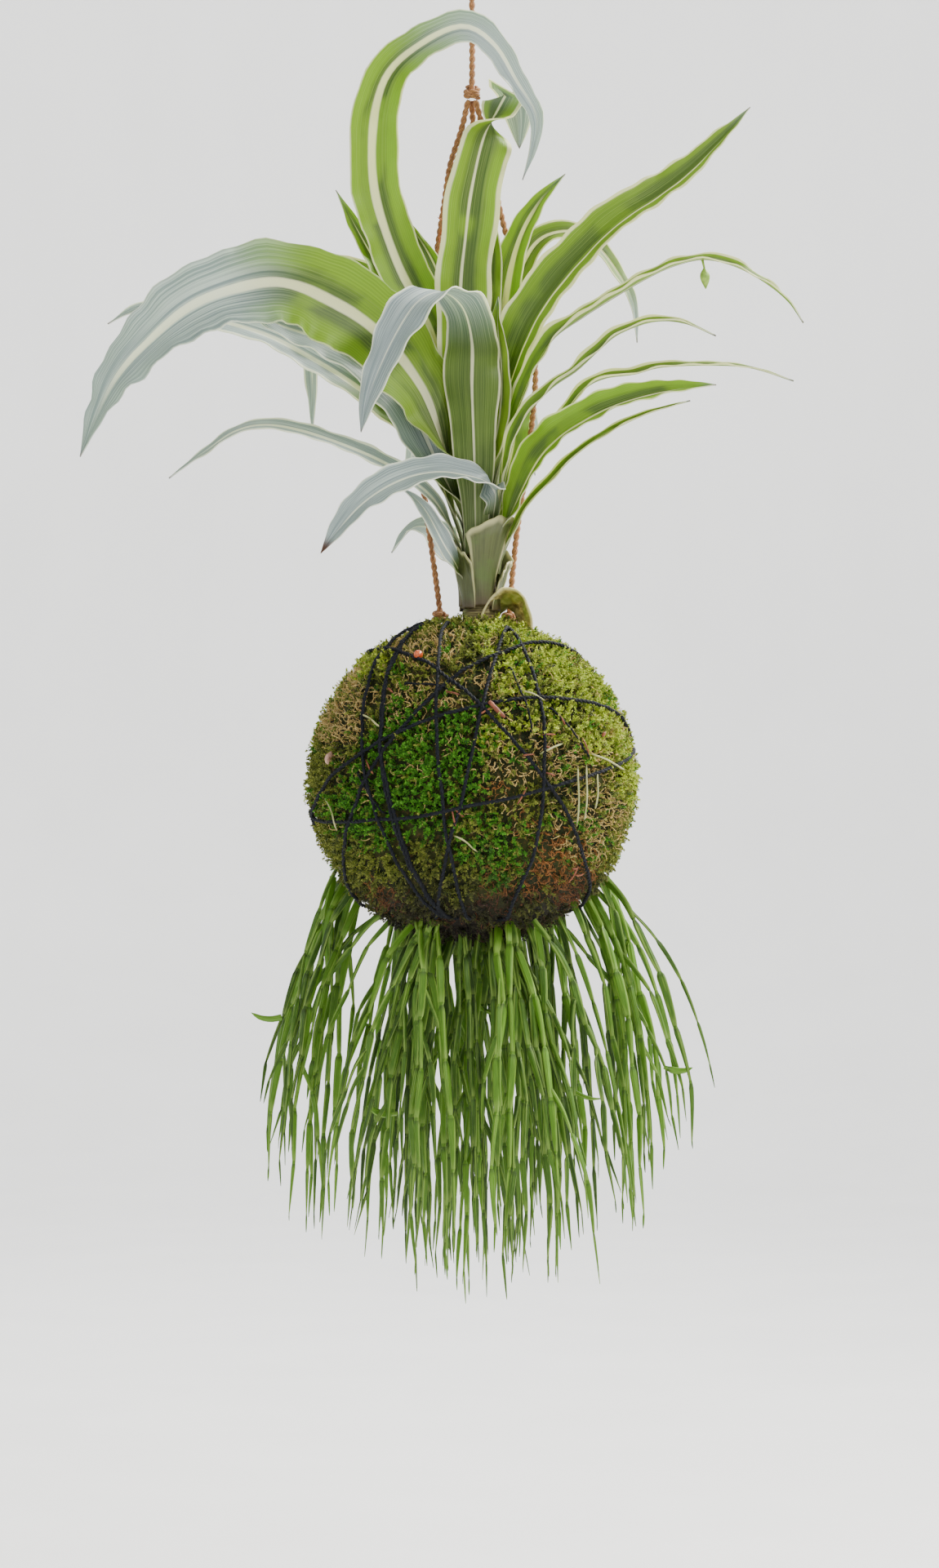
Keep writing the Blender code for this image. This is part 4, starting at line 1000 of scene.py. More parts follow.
def stemRoutes(name):
    # out of the crown, over, and down to hanging tips: the same draws as the solids' own
    crown, value = stemCrowns[name], stemValues
    chance = random.Random(f"{name}{value['seed']}")
    root = onBall(crown["azimuth"], crown["polar"], mossTop - value["rootDepth"])
    routes = []
    for i in range(crown["count"]):
        low, high = crown["sector"]
        angle = math.radians(low + (high - low) * (i + 0.5) / crown["count"])
        share = chance.uniform(*crown["reach"])
        reach = value["reach"] * share
        drop = value["drop"] - value["rise"] * share ** 2 - chance.uniform(0, value["dropSpread"])
        away = heading(angle)
        start = root + away * chance.uniform(*value["rootSpread"])
        side = away.cross(Vector((0, 0, 1)))
        sway = chance.uniform(-1.0, 1.0)
        route = []
        for k in range(value["points"]):
            t = k / (value["points"] - 1)
            level = start.xy.lerp(away.xy * reach, 1 - (1 - t) ** value["bendPower"])
            fall = t ** value["fallPower"] if reach > start.xy.length else t
            height = start.z + (-drop - start.z) * fall
            wave = math.sin(t * value["waveAngle"] + sway * value["swayAngle"]) * value["wave"] * t
            route.append(Vector((level.x, level.y, height)) + side * wave)
        routes.append(route)
    return routes


def addStem(shape, route, girth, chance, age):
    # jointed: each segment swells and is pinched where the next one grows from it
    value, form = stemValues, jointValues
    length = routeLength(route)
    count = max(int(length / value["step"]), 8)
    points = smoothRoute(route, count)
    segment = value["segment"] * chance.uniform(0.85, 1.15)
    phase = chance.uniform(0, 1)
    turn = chance.uniform(0, math.pi)
    frames = turningFrames(points)
    laid, radii, twists, agesAndShade, places = [], [], [], [], []
    for i, (point, (direction, side, third)) in enumerate(zip(points, frames)):
        run = i / (count - 1) * length / segment + phase
        joint, frac = int(run), run % 1.0
        swing = value["zigzag"] * (1 if joint % 2 else -1) * (1 - 2 * frac)
        lean = math.cos(turn) * side + math.sin(turn) * third
        laid.append(point + lean * swing * min(i / form["start"], 1.0))
        foot = min(frac / form["foot"], 1.0) ** 0.5
        swell = form["least"] + form["swell"] * (1 - frac) ** form["fade"] * foot
        thin = 1 - form["thinning"] * (i / (count - 1)) ** form["thinPower"]
        radii.append(max(girth * swell * thin, form["leastRadius"]))
        twists.append(turn + joint * form["turn"] + frac * form["twist"])
        agesAndShade.append(age)
        places.append(frac)
    radii[-1] = form["tip"]
    addTube(shape, laid, radii, value["sides"], form["ridge"], twists, age=agesAndShade, joint=places)


def addBranches(shape, route, chance, age):
    # side branches that fork off at a joint and hang with the stem
    value = stemValues
    fine = smoothRoute(route, 40)
    for k in range(chance.randint(*value["branches"])):
        at = chance.randint(6, 24)
        direction = (fine[at + 1] - fine[at]).normalized()
        turn = chance.uniform(0, 2 * math.pi)
        out = (Vector((math.cos(turn), math.sin(turn), -0.4)) - direction * 0.2).normalized()
        length = chance.uniform(*value["branchLength"])
        lowest = -value["drop"] + 2
        length = min(length, max(fine[at].z - lowest, 20))
        places = [fine[at]]
        for j in range(1, 6):
            t = j / 5
            spread = out * length * 0.2 * (1 - (1 - t) ** 2)
            places.append(fine[at] + direction * length * 0.55 * t + spread
                          + Vector((0, 0, -length * 0.4 * t * t)))
        addStem(shape, places, value["radius"] * chance.uniform(*value["branchGirth"]), chance, age)


def strayRoute(crown, chance):
    # a stem from anywhere on the underside, straighter and further out than the crown's own
    value, stray = stemValues, strayValues
    polar = chance.uniform(*stray["polar"])
    azimuth = crown["azimuth"] + chance.uniform(-1, 1) * stray["spread"]
    if polar > stray["under"]:
        azimuth = chance.uniform(0, 360)
    if math.sin(math.radians(azimuth)) < -0.2:
        polar = stray["frontPolar"] + (polar - stray["polar"][0]) * 0.4
    root = onBall(azimuth, polar, mossTop - value["rootDepth"])
    level = Vector((root.x, root.y))
    swing = math.radians(chance.uniform(-stray["swing"], stray["swing"]))
    angle = math.atan2(level.y, level.x) + swing
    share = chance.uniform(*stray["sideReach" if polar < stray["under"] else "underReach"])
    reach = max(value["reach"] * share, level.length + 8)
    drop = value["drop"] - value["rise"] * (reach / value["reach"]) ** 2
    drop -= chance.uniform(0, stray["dropSpread"])
    away = heading(angle)
    end = Vector((math.cos(angle) * reach, max(math.sin(angle) * reach, stray["frontLimit"]),
                  -drop))
    bend = root.lerp(end, stray["bend"]) + away * reach * stray["arch"]
    bend += Vector((0, 0, stray["rise"]))
    sway = away.cross(Vector((0, 0, 1))) * chance.uniform(-stray["sway"], stray["sway"])
    return [root * (1 - t) ** 2 + (bend + sway) * (2 * t * (1 - t)) + end * t ** 2
            for t in (k / 6 for k in range(7))]


def paintStem(net):
    both = net.uv("skin")
    joint = net.attribute("joint")
    age = net.attribute("age")
    highlightStreak = net.noise(net.stretched(both.out("X") * 14, both.out("Y") * 0.08), 1.0, 3)
    patch = net.noise(net.place(), 55, 3)
    # darker with age: partly the stem's own tone at random, partly painted shade on the stems that
    # hang behind
    colour = net.mix(age * 0.85 + patch * 0.35, (0.135, 0.32, 0.016), (0.02, 0.055, 0.005))
    # painted highlight: lighter streaks along the stem
    colour = net.mix(net.step(highlightStreak, 0.5, 0.7) * 0.3, colour, (0.33, 0.56, 0.07))
    # painted highlight along the stem's two ridges
    ridge = net.maths("ABSOLUTE", net.maths("COSINE", both.out("X") * (2 * math.pi)))
    colour = net.mix(net.step(ridge, 0.86, 1.0) * 0.32, colour, (0.48, 0.7, 0.14))
    colour = net.mix(net.step(joint, 0.72, 0.97) * 0.28, colour, (0.42, 0.6, 0.13))
    nearJoint = 1 - net.step(joint, 0.02, 0.15)
    colour = net.mix(nearJoint * 0.62, colour, (0.025, 0.05, 0.006))
    return net.skin(colour, 0.46 + patch * 0.2, highlightStreak + patch * 0.5, 0.5, 0.3)


def makeStems():
    finish = newMaterial("trailingStem", paintStem, {"share": 0.14, "tint": (1.2, 1.3, 0.6)},
                         **{"Specular IOR Level": 0.35})
    for name in stemCrowns:
        shape = Shape()
        chance = random.Random("look " + name)
        for route in stemRoutes(name):
            # painted shade: stems of the back crowns may be darkened more than the others
            age = chance.uniform(0.0, 1.0) * (1.0 if "back" in name else 0.7)
            girth = stemValues["radius"] * chance.uniform(*stemValues["girth"])
            spreadRoot = Vector((chance.uniform(-8, 8), chance.uniform(-6, 6), 3))
            moved = [p + spreadRoot * (1 - ease(k / 2.5)) for k, p in enumerate(route)]
            addStem(shape, moved, girth, chance, age)
            addBranches(shape, moved, chance, min(age + 0.15, 1.0))
        for k in range(strayValues["count"]):
            route = strayRoute(stemCrowns[name], chance)
            girth = stemValues["radius"] * chance.uniform(*strayValues["girth"])
            # painted shade: straggling stems are darkened more than the crowns' own
            addStem(shape, route, girth, chance, chance.uniform(*strayValues["age"]))
        for owner, start, end in sideShoots:
            if owner == name:
                start, end = Vector(start), Vector(end)
                rise = Vector((0, 0, 1.5))
                places = [start, start.lerp(end, 0.35) - rise, start.lerp(end, 0.7) - rise, end]
                addStem(shape, places, 1.9, chance, 0.1)
        ready(shape.piece(pieceName(name), finish, 50), "stem", name)


makeStems()
print("stems done")

# Binding thread: great circles round the ball, each through two places on its front

threadValues = dict(radius=76.0, diameter=1.9, points=240, clearPlace=(7.0, 2.0), clearRadius=28.0,
                    bottom=-60.0, wander=0.5, drift=1.3, pitch=5.0, spacing=1.0, frays=170,
                    hidden=-68.0, tuck=9.0, clearRun=7, bottomRun=12, sink=0.3)

threadWinds = (
    ((-30.7, 63.7), (-21.0, -50.0)),
    ((-37.0, 50.0), (-30.0, -30.0)),
    ((-14.0, 62.6), (-15.0, 10.9)),
    ((12.8, 61.5), (-12.0, -38.6)),
    ((16.0, 70.5), (30.8, -9.4)),
    ((-9.8, 30.0), (52.0, 35.6)),
    ((-27.8, -16.0), (47.6, 0.4)),
    ((-14.2, 49.0), (51.0, -36.4)),
    ((-49.0, 28.9), (-39.0, -25.0)),
    ((-9.8, 44.6), (12.8, 58.0)),
)

# Finer lengths that show only between two places
shortWinds = (
    ((-32.0, 43.6), (-11.0, 42.2)),
    ((33.0, 35.0), (54.0, 8.0)),
    ((15.5, 54.0), (27.5, 20.0)),
    ((-52.0, 6.0), (-38.0, -16.0)),
)


def frontPlace(x, z, radius):
    return Vector((x, -math.sqrt(radius * radius - x * x - z * z), z))


def windFrame(wind):
    # the wind's own two axes: towards its first place, and square to that in its plane
    along = frontPlace(*wind[0], threadValues["radius"]).normalized()
    axis = along.cross(frontPlace(*wind[1], threadValues["radius"])).normalized()
    return along, axis.cross(along), axis


windAxes = [windFrame(wind)[2] for wind in threadWinds]


def nearestWind(direction):
    # how far, in millimetres, the surface here lies from the nearest wind that shows
    value = threadValues
    clear = (Vector((direction.x, direction.y)) * mossTop - Vector(value["clearPlace"])).length
    if direction.z > 0 and clear < value["clearRadius"] or direction.z * mossTop < value["hidden"]:
        return 99.0                       # out of reach of any
    return min(abs(direction.dot(axis)) for axis in windAxes) * value["radius"]


def threadPoint(direction, phase):
    value = threadValues
    point = direction * value["radius"]
    lift = value["wander"] * noise.noise(point * 0.16 + Vector((phase, 0, 0)))
    level = Vector((point.x, point.y)) - Vector(value["clearPlace"])
    if point.z > 0:
        lift -= value["tuck"] * ease((value["clearRadius"] - level.length) / value["clearRun"])
    lift -= value["tuck"] * ease((value["bottom"] - point.z) / value["bottomRun"])
    lift += mossRadius(direction) - mossValues["bed"] - value["sink"]
    return direction * (value["radius"] + lift)


def windRoute(wind, phase):
    along, across, axis = windFrame(wind)
    count = threadValues["points"]
    turned = []
    for k in range(count):
        a = 2 * math.pi * k / count
        direction = along * math.cos(a) + across * math.sin(a)
        drift = threadValues["drift"] * noise.noise(direction * 3.4 + Vector((0, phase, 0)))
        direction = (direction + axis * drift / threadValues["radius"]).normalized()
        turned.append(direction)
    lowest = min(range(count), key=lambda k: turned[k].z)
    turned = turned[lowest:] + turned[:lowest + 1]
    return [threadPoint(direction, phase) for direction in turned]


def shortRoute(wind, phase):
    first, last = (frontPlace(*place, threadValues["radius"]).normalized() for place in wind)
    points = []
    for k in range(31):
        t = k / 30
        direction = first.lerp(last, t).normalized()
        bow = 0.012 * math.sin(math.pi * t) * math.sin(phase * 5)
        direction = (direction + direction.cross(last - first).normalized() * bow).normalized()
        tuck = 5 * (1 - ease(min(t, 1 - t) / 0.12))
        points.append(threadPoint(direction, phase) - direction * tuck)
    return points


def makeThread():
    value = threadValues
    routes = [windRoute(wind, i * 3.7) for i, wind in enumerate(threadWinds)]
    thread = twistedPiece("threadWinds", routes, threadFinish, value["diameter"], value["pitch"],
                          value["spacing"], 6)
    ready(thread, "thread", "binding_thread")
    short = [shortRoute(wind, i * 1.9) for i, wind in enumerate(shortWinds)]
    ready(twistedPiece("threadFine", short, threadFinish, 1.1, 4.0, 0.8, 5), "thread")
    chance = random.Random("fray")
    shape = Shape()
    for k in range(value["frays"]):
        route = routes[k % len(routes)]
        at = chance.randint(10, len(route) - 12)
        start = route[at]
        if start.z < value["bottom"]:
            continue
        run = (route[at + 1] - start).normalized() * chance.choice((-1, 1))
        up = start.normalized()
        side = run.cross(up) * chance.uniform(-1, 1)
        length = chance.uniform(1.6, 4.2)
        points = [start + up * 0.5,
                  start + up * 0.9 + (run * 0.5 + side * 0.4) * length * 0.5,
                  start + up * 1.1 + (run * 0.8 + side * 0.9 + up * 0.15) * length * 0.8]
        addTube(shape, points, [0.12, 0.09, 0.04], 3)
    ready(shape.piece("threadFray", threadFinish), "thread")

# Moss: a lumpy bed first, then sprigs of each colour scattered over it

mossValues = dict(bed=71.6, lump=1.2, swells=((0.05, 0.8), (0.11, 0.55), (0.32, 0.35)), level=6,
                  ear=(15.0, 4.0, 73.0), earRise=2.5, earWidth=11.0,
                  hollow=(15, -12, 68), hollowDepth=3.0, hollowWidth=6,
                  groove=0.7, grooveWidth=1.8, bare=0.9, bareWidth=1.5)

# Patches of colour on the front of the ball: kind, centre x and z, half width and height, strength
mossPatches = (
    ("deep", -22, 5, 26, 32, 1.0), ("deep", -45, -10, 18, 22, 0.8), ("deep", -2, 18, 14, 16, 0.9),
    ("deep", 8, -30, 16, 14, 0.6), ("bright", 38, 45, 26, 20, 1.0),
    ("bright", 58, 28, 16, 20, 1.0), ("bright", 70, 10, 10, 20, 1.0),
    ("bright", -40, 52, 14, 8, 0.8), ("bright", 22, 60, 20, 10, 1.0),
    ("bright", 30, 30, 18, 12, 0.8), ("bright", 15, 22, 12, 10, 0.7),
    ("bright", 15, 82, 16, 14, 1.2), ("tan", -58, 35, 16, 24, 0.9), ("tan", -28, 30, 12, 14, 0.9),
    ("tan", -12, 40, 14, 8, 1.0), ("tan", 10, 40, 14, 10, 0.8), ("tan", 18, 12, 22, 14, 0.7),
    ("tan", 45, 8, 20, 16, 0.7), ("tan", 52, -14, 18, 20, 0.8), ("tan", 70, 30, 8, 30, 0.8),
    ("tan", -20, 60, 20, 8, 0.8), ("rust", 18, -45, 18, 12, 1.0), ("rust", 40, -38, 20, 18, 1.0),
    ("rust", 10, -5, 8, 6, 0.8), ("rust", -40, -50, 12, 8, 0.7), ("rust", 22, -18, 8, 8, 0.7),
)


def patchStrengths(point):
    # how much of each kind grows here, and the painted shade on the lower ball; the back carries
    # the same pattern turned over
    x, z = (point.x, point.z) if point.y < 0 else (-point.x * 0.9, point.z * 0.95)
    spot = point * 0.045
    drift = Vector((noise.noise(spot), noise.noise(spot + Vector((9, 0, 0))), 0)) * 7
    found = dict(deep=0.0, bright=0.0, tan=0.0, rust=0.0)
    for kind, cx, cz, rx, rz, strength in mossPatches:
        away = ((x + drift.x - cx) / rx) ** 2 + ((z + drift.y - cz) / rz) ** 2
        found[kind] = max(found[kind], strength * ease(1.35 - away))
    mottle = noise.noise(point * 0.11 + Vector((3, 3, 3)))
    fleck = noise.noise(point * 0.17 + Vector((7, 1, 5)))
    found["bright"] *= 0.3 + 0.9 * ease(fleck * 2.4 + 0.55)
    found["tan"] *= 0.55 + 0.9 * max(mottle, 0) + 0.2
    found["tan"] += 0.55 * ease(-fleck * 3.2 - 0.25) * ease((point.z + 40) / 40)
    found["deep"] = max(found["deep"], 0.5 * ease(mottle * 3.4 - 0.7) * ease((point.z + 50) / 30))
    found["rust"] += ease((-point.z - 46) / 30) * 0.35
    # painted shade: the lower part of the ball is darkened
    found["dark"] = ease((-point.z - 38) / 34)
    taken = max(found["deep"], found["bright"], found["tan"], found["rust"])
    found["olive"] = max(1.0 - taken, 0.12) * (1 - 0.35 * found["dark"])
    return found


def mossRadius(direction):
    value = mossValues
    point = direction * mossTop
    swell = sum(height * noise.noise(point * beat) for beat, height in value["swells"])
    radius = value["bed"] + value["lump"] * swell
    away = (direction * value["bed"] - Vector(value["ear"])).length
    radius += value["earRise"] * math.exp(-(away / value["earWidth"]) ** 2)
    away = (direction * value["bed"] - Vector(value["hollow"])).length
    return radius - value["hollowDepth"] * math.exp(-(away / value["hollowWidth"]) ** 2)


def paintBed(net):
    tangle = net.noise(net.place(), 420, 4, 0.7)
    patch = net.noise(net.place(), 60, 3)
    # the bed's dark green, partly its own colour and partly painted shade between the sprigs
    green = net.mix(net.step(patch, 0.4, 0.65), (0.01, 0.016, 0.004), (0.036, 0.044, 0.01))
    colour = net.mix(net.step(tangle, 0.5, 0.7), green, (0.085, 0.055, 0.018))
    # painted shade: the bed darkened towards the bottom of the ball
    colour = net.mix(net.attribute("dark") * 0.85, colour, (0.02, 0.014, 0.016))
    return net.skin(colour, 0.72 + tangle * 0.25, tangle + patch, 1.0, 1.2)


def makeMossBed():
    value = mossValues
    finish = newMaterial("mossBed", paintBed, **{"Specular IOR Level": 0.2})
    ball = bmesh.new()
    bmesh.ops.create_icosphere(ball, subdivisions=value["level"], radius=1.0)
    ball.normal_update()
    mesh = bpy.data.meshes.new("mossBed")
    ball.to_mesh(mesh)
    ball.free()
    # the last, dark, is painted shade on the lower ball, not a kind of moss
    kinds = ("deep", "bright", "olive", "tan", "rust", "dark")
    strengths = {kind: [] for kind in kinds}
    places = []
    for vertex in mesh.vertices:
        direction = vertex.co.normalized()
        point = direction * mossRadius(direction)
        away = nearestWind(direction)
        point -= direction * value["groove"] * math.exp(-(away / value["grooveWidth"]) ** 2)
        places += list(inFrame(point))
        found = patchStrengths(point)
        nearThread = value["bare"] * math.exp(-(away / value["bareWidth"]) ** 4)
        for kind in kinds[:-1]:
            found[kind] *= 1 - nearThread
        for kind in kinds:
            strengths[kind].append(found[kind])
    mesh.vertices.foreach_set("co", places)
    for kind in kinds:
        setTag(mesh, kind, strengths[kind])
    mesh.materials.append(finish)
    mesh.shade_smooth()
    mesh.update()
    return ready(newObject("mossBed", mesh), "moss", "moss_cover")


hoodValues = dict(centre=(15.5, -9.0, 69.0), width=10.5, height=17.5, depth=15.0, thickness=0.9,
                  rows=36, columns=16, ragged=0.6, closing=0.42, lip=1.5, lean=1.5)


def paintHood(net):
    fibre = net.noise(net.place((1, 1, 2)), 260, 4)
    patch = net.noise(net.place(), 80, 2)
    back = net.uv("skin").out("Y")
    colour = net.mix(net.step(fibre, 0.35, 0.65), (0.21, 0.17, 0.04), (0.62, 0.54, 0.2))
    colour = net.mix(net.step(patch, 0.45, 0.62) * 0.6, colour, (0.3, 0.4, 0.05))
    colour = net.mix((1 - net.step(back, 0.02, 0.14)) * 0.7, colour, (0.8, 0.74, 0.38))
    colour = net.mix(net.step(back, 0.45, 0.9) * 0.5, colour, (0.07, 0.06, 0.02))
    return net.skin(colour, 0.55 + patch * 0.25, fibre + patch, 1.0, 0.9)


def makeHood():
    # old moss skin curled up beside the cane, open to the front
    value = hoodValues
    finish = newMaterial("mossHood", paintHood, {"share": 0.25, "tint": (1.2, 1.15, 0.7)})
    rows, columns = value["rows"], value["columns"]
    centre = Vector(value["centre"])
    points, uvs = [], []
    for row in range(rows + 1):
        a = math.pi * row / rows
        for column in range(columns + 1):
            back = column / columns
            spot = Vector((math.cos(a) * 2.4, back * 3, math.sin(a) * 2.4))
            ragged = value["ragged"] * noise.noise(spot)
            shrink = 1 - value["closing"] * back ** 1.6 + 0.07 * ragged
            lip = value["lip"] * (1 - back) ** 4
            x = math.cos(a) * (value["width"] * shrink + lip) + value["lean"] * math.sin(a) ** 2
            z = math.sin(a) * (value["height"] * shrink + lip) + 1.2 * ragged
            points.append(centre + Vector((x, value["depth"] * back + 2.2 * ragged, z)))
            uvs.append((row / rows, back))
    shape = Shape()
    shape.add(points, gridFaces(rows, columns), uvs)
    ready(walled(shape, "mossHood", finish, value["thickness"]), "moss")


# The two forms of sprig: upright, and a curled dry strand
sprigForms = dict(
    sprig=dict(length=(5.0, 6.6), girth=0.17, leaflets=11, reach=1.0, breadth=1.0),
    strand=dict(length=(6.0, 9.0), girth=0.26, leaflets=5, reach=0.7, breadth=0.75),
)


def sprigShape(chance, kind):
    # a stem with pointed leaflets spiralling up it, or a curled dry strand with a few of them
    form = sprigForms[kind]
    shape = Shape()
    length = chance.uniform(*form["length"])
    lean = chance.uniform(0.5, 1.1)
    middle = []
    for i in range(5):
        t = i / 4
        if kind == "strand":
            turn = t * chance.uniform(3.2, 4.4)
            middle.append(Vector((math.sin(turn) * 1.9, 0.35 * i,
                                  (1 - math.cos(turn)) * 1.7 + t * 1.2)))
        else:
            middle.append(Vector((lean * t * t * 2.2, 0.2 * math.sin(3 * t),
                                  length * (t - 0.22 * t * t))))
    addTube(shape, middle, [form["girth"] * (1.1 - 0.8 * i / 4) for i in range(5)], 3)
    count = form["leaflets"]
    for k in range(count):
        t = 0.15 + 0.85 * k / (count - 1)
        place = t * 4
        low = min(int(place), 3)
        root = middle[low].lerp(middle[low + 1], place - low)
        turn = k * 2.4 + chance.uniform(-0.3, 0.3)
        up = (middle[low + 1] - middle[low]).normalized()
        side = up.orthogonal()
        side.rotate(Matrix.Rotation(turn, 3, up))
        reach = chance.uniform(1.5, 2.3) * (1 - 0.35 * t) * form["reach"]
        tip = root + (side * (0.85 - 0.5 * t) + up * (0.55 + 0.5 * t)).normalized() * reach
        width = up.cross(side) * 0.42 * form["breadth"]
        back = root - side * 0.06 + up * 0.32
        belly = root.lerp(tip, 0.3)
        points = [belly + width, tip, belly - width, back]
        faces = [(0, 2, 1), (0, 1, 3), (1, 2, 3), (0, 3, 2)]
        shape.add(points, faces, [(0.5, t * 0.7), (0.5, 1.0), (0.5, t * 0.7), (0.5, t * 0.7)])
    return shape


def sprigCollection(kind, count):
    holder = bpy.data.collections.new(kind)
    for i in range(count):
        shape = sprigShape(random.Random(f"{kind}{i}"), kind)
        mesh = shape.mesh(kind, lambda point: Vector(point) * mm)
        holder.objects.link(bpy.data.objects.new(f"{kind}{i}", mesh))
    return holder


def growTree():
    # points by the patch strength, a sprig on each, tilted and turned, with its own tint
    net, start = newTree("mossTufts", Sprigs="Collection", Kind="String", Density="Float",
                         Seed="Int", Tilt="Float", Small="Float", Large="Float", Finish="Material")
    strength = net.node("GeometryNodeInputNamedAttribute", {"data_type": "FLOAT"},
                        {"Name": start.out("Kind")})
    points = net.node("GeometryNodeDistributePointsOnFaces", {"distribute_method": "RANDOM"},
                      {"Mesh": start.out("Geometry"), "Density": strength * start.out("Density"),
                       "Seed": start.out("Seed")})
    tilt = start.out("Tilt")
    most = net.node("ShaderNodeCombineXYZ", {}, {"X": tilt, "Y": tilt, "Z": 3.1416})
    spin = net.node("FunctionNodeRandomValue", {"data_type": "FLOAT_VECTOR"},
                    {0: net.scaled(most, -1.0), 1: most, "Seed": start.out("Seed")})
    spin = net.node("FunctionNodeEulerToRotation", {}, {0: spin})
    turned = net.node("FunctionNodeRotateRotation", {"rotation_space": "LOCAL"},
                      {"Rotation": points.out("Rotation"), "Rotate By": spin})
    size = net.node("FunctionNodeRandomValue", {"data_type": "FLOAT"},
                    {2: start.out("Small"), 3: start.out("Large"), "Seed": start.out("Seed")}, 1)
    variants = net.node("GeometryNodeCollectionInfo", {},
                        {"Collection": start.out("Sprigs"), "Separate Children": True,
                         "Reset Children": True})
    placed = net.node("GeometryNodeInstanceOnPoints", {},
                      {"Points": points.out("Points"), "Instance": variants, "Pick Instance": True,
                       "Rotation": turned, "Scale": size})
    tint = net.node("FunctionNodeRandomValue", {"data_type": "FLOAT"},
                    {2: 0.0, 3: 1.0, "Seed": 3}, 1)
    return net.close(net.store(placed, "tint", tint, "INSTANCE"), start.out("Finish"))


def mossPaint(dark, light, tip, low):
    def paint(net):
        up = net.uv("skin").out("Y")
        tint = net.attribute("tint")
        patch = net.noise(net.place(), 75, 2)
        colour = net.mix(net.step(tint * 0.65 + patch * 0.5, 0.25, 0.85), dark, light)
        colour = net.mix(net.step(up, 0.45, 1.0) * 0.65, colour, tip)
        # the foot of each sprig darker: partly its own colour, partly painted shade deep in the
        # tuft
        colour = net.mix((1 - net.step(up, 0.0, 0.35)) * 0.6, colour, low)
        # painted shade: sprigs are darkened towards the bottom of the ball, by their height
        height = net.node("ShaderNodeSeparateXYZ", {}, {0: net.place()}).out("Z")
        height = height + (patch - 0.5) * 0.06
        shade = 1 - net.step(height, ballCentre.z - 0.072, ballCentre.z - 0.028)
        colour = net.mix(shade * 0.86, colour, (0.02, 0.013, 0.022))
        return net.skin(colour, 0.5 + tint * 0.25, net.noise(net.place(), 900, 2), 0.3, 0.3)
    return paint


# Colours of each kind as dark, light, tip and foot, the foot's dark partly painted shade deep in
# the tufts; density is sprigs to the square metre
mossKinds = dict(
    deep=dict(parts=1, density=290000, seed=11, tilt=0.85, small=0.75, large=1.15, form="sprig",
              colours=((0.014, 0.09, 0.006), (0.06, 0.25, 0.016), (0.18, 0.44, 0.03),
                       (0.004, 0.016, 0.004))),
    bright=dict(parts=2, density=300000, seed=12, tilt=0.9, small=0.75, large=1.2, form="sprig",
                colours=((0.11, 0.23, 0.008), (0.4, 0.54, 0.026), (0.76, 0.76, 0.15),
                         (0.026, 0.03, 0.004))),
    olive=dict(parts=3, density=230000, seed=13, tilt=0.95, small=0.72, large=1.15, form="sprig",
               colours=((0.034, 0.066, 0.008), (0.16, 0.21, 0.022), (0.42, 0.42, 0.08),
                        (0.01, 0.01, 0.004))),
    tan=dict(parts=1, density=230000, seed=14, tilt=1.1, small=0.65, large=1.05, form="strand",
             colours=((0.3, 0.17, 0.036), (0.72, 0.48, 0.15), (0.92, 0.74, 0.34),
                      (0.09, 0.05, 0.014))),
    rust=dict(parts=1, density=210000, seed=15, tilt=1.2, small=0.6, large=1.0, form="strand",
              colours=((0.11, 0.032, 0.008), (0.33, 0.11, 0.024), (0.48, 0.23, 0.08),
                       (0.04, 0.014, 0.006))),
)


def growMoss(bed):
    sprigs = {form: sprigCollection(form, 6) for form in ("sprig", "strand")}
    tree = growTree()
    for kind, value in mossKinds.items():
        finish = newMaterial(kind + "Moss", mossPaint(*value["colours"]),
                             {"share": 0.18, "tint": (1.1, 1.15, 0.7)},
                             **{"Specular IOR Level": 0.25})
        for k in range(value["parts"]):
            name = f"{kind}Moss{k + 1}"
            holder = newObject(name, bed.data.copy())
            nodeModifier(holder, tree, dict(
                Sprigs=sprigs[value["form"]], Kind=kind, Density=value["density"] / value["parts"],
                Seed=value["seed"] + 20 * k, Tilt=value["tilt"], Small=value["small"],
                Large=value["large"], Finish=finish))
            ready(frozen(holder, name), "moss")


# Small things caught in the moss

bitsTable = dict(berry=(-24.0, 56.6, 2.1), stick=(11.0, 31.5, 10.0, -50.0),
                 leafBit=(-64.0, 10.5, 6.0), chip=(59.0, 21.0, 3.2),
                 straws=(((46.5, -20), (47.5, 7)), ((50, -17), (51.5, 8)), ((55, -12), (56.5, 5)),
                         ((53, 12), (70, 5)), ((-50, 30), (-40, 24)), ((30, 12), (41, 17)),
                         ((-8, -24), (3, -31)), ((22, 40), (33, 36)), ((-66, -8), (-60, -22))))


def surfaceFrame(x, z, radius):
    place = frontPlace(x, z, radius)
    up = place.normalized()
    side = Vector((0, 0, 1)).cross(up).normalized()
    return place, up, side, up.cross(side)


def lyingRoute(x, z, radius, lean, length, count, bow=0.0, beat=1.0):
    # along something that lies on the moss, turned by lean and bowed a little
    place, up, side, rise = surfaceFrame(x, z, radius)
    run = side * math.cos(lean) + rise * math.sin(lean)
    return [place + run * length * (k / (count - 1) - 0.5) + up * bow * math.sin(k * beat)
            for k in range(count)]


def plainPaint(dark, light, scale, rough):
    def paint(net):
        patch = net.noise(net.place(), scale, 3)
        grain = net.noise(net.place((1, 1, 0.3)), scale * 5, 3)
        colour = net.mix(net.step(patch * 0.6 + grain * 0.5, 0.3, 0.8), dark, light)
        return net.skin(colour, grain * 0.3 + rough, grain, 0.5, 0.3)
    return paint


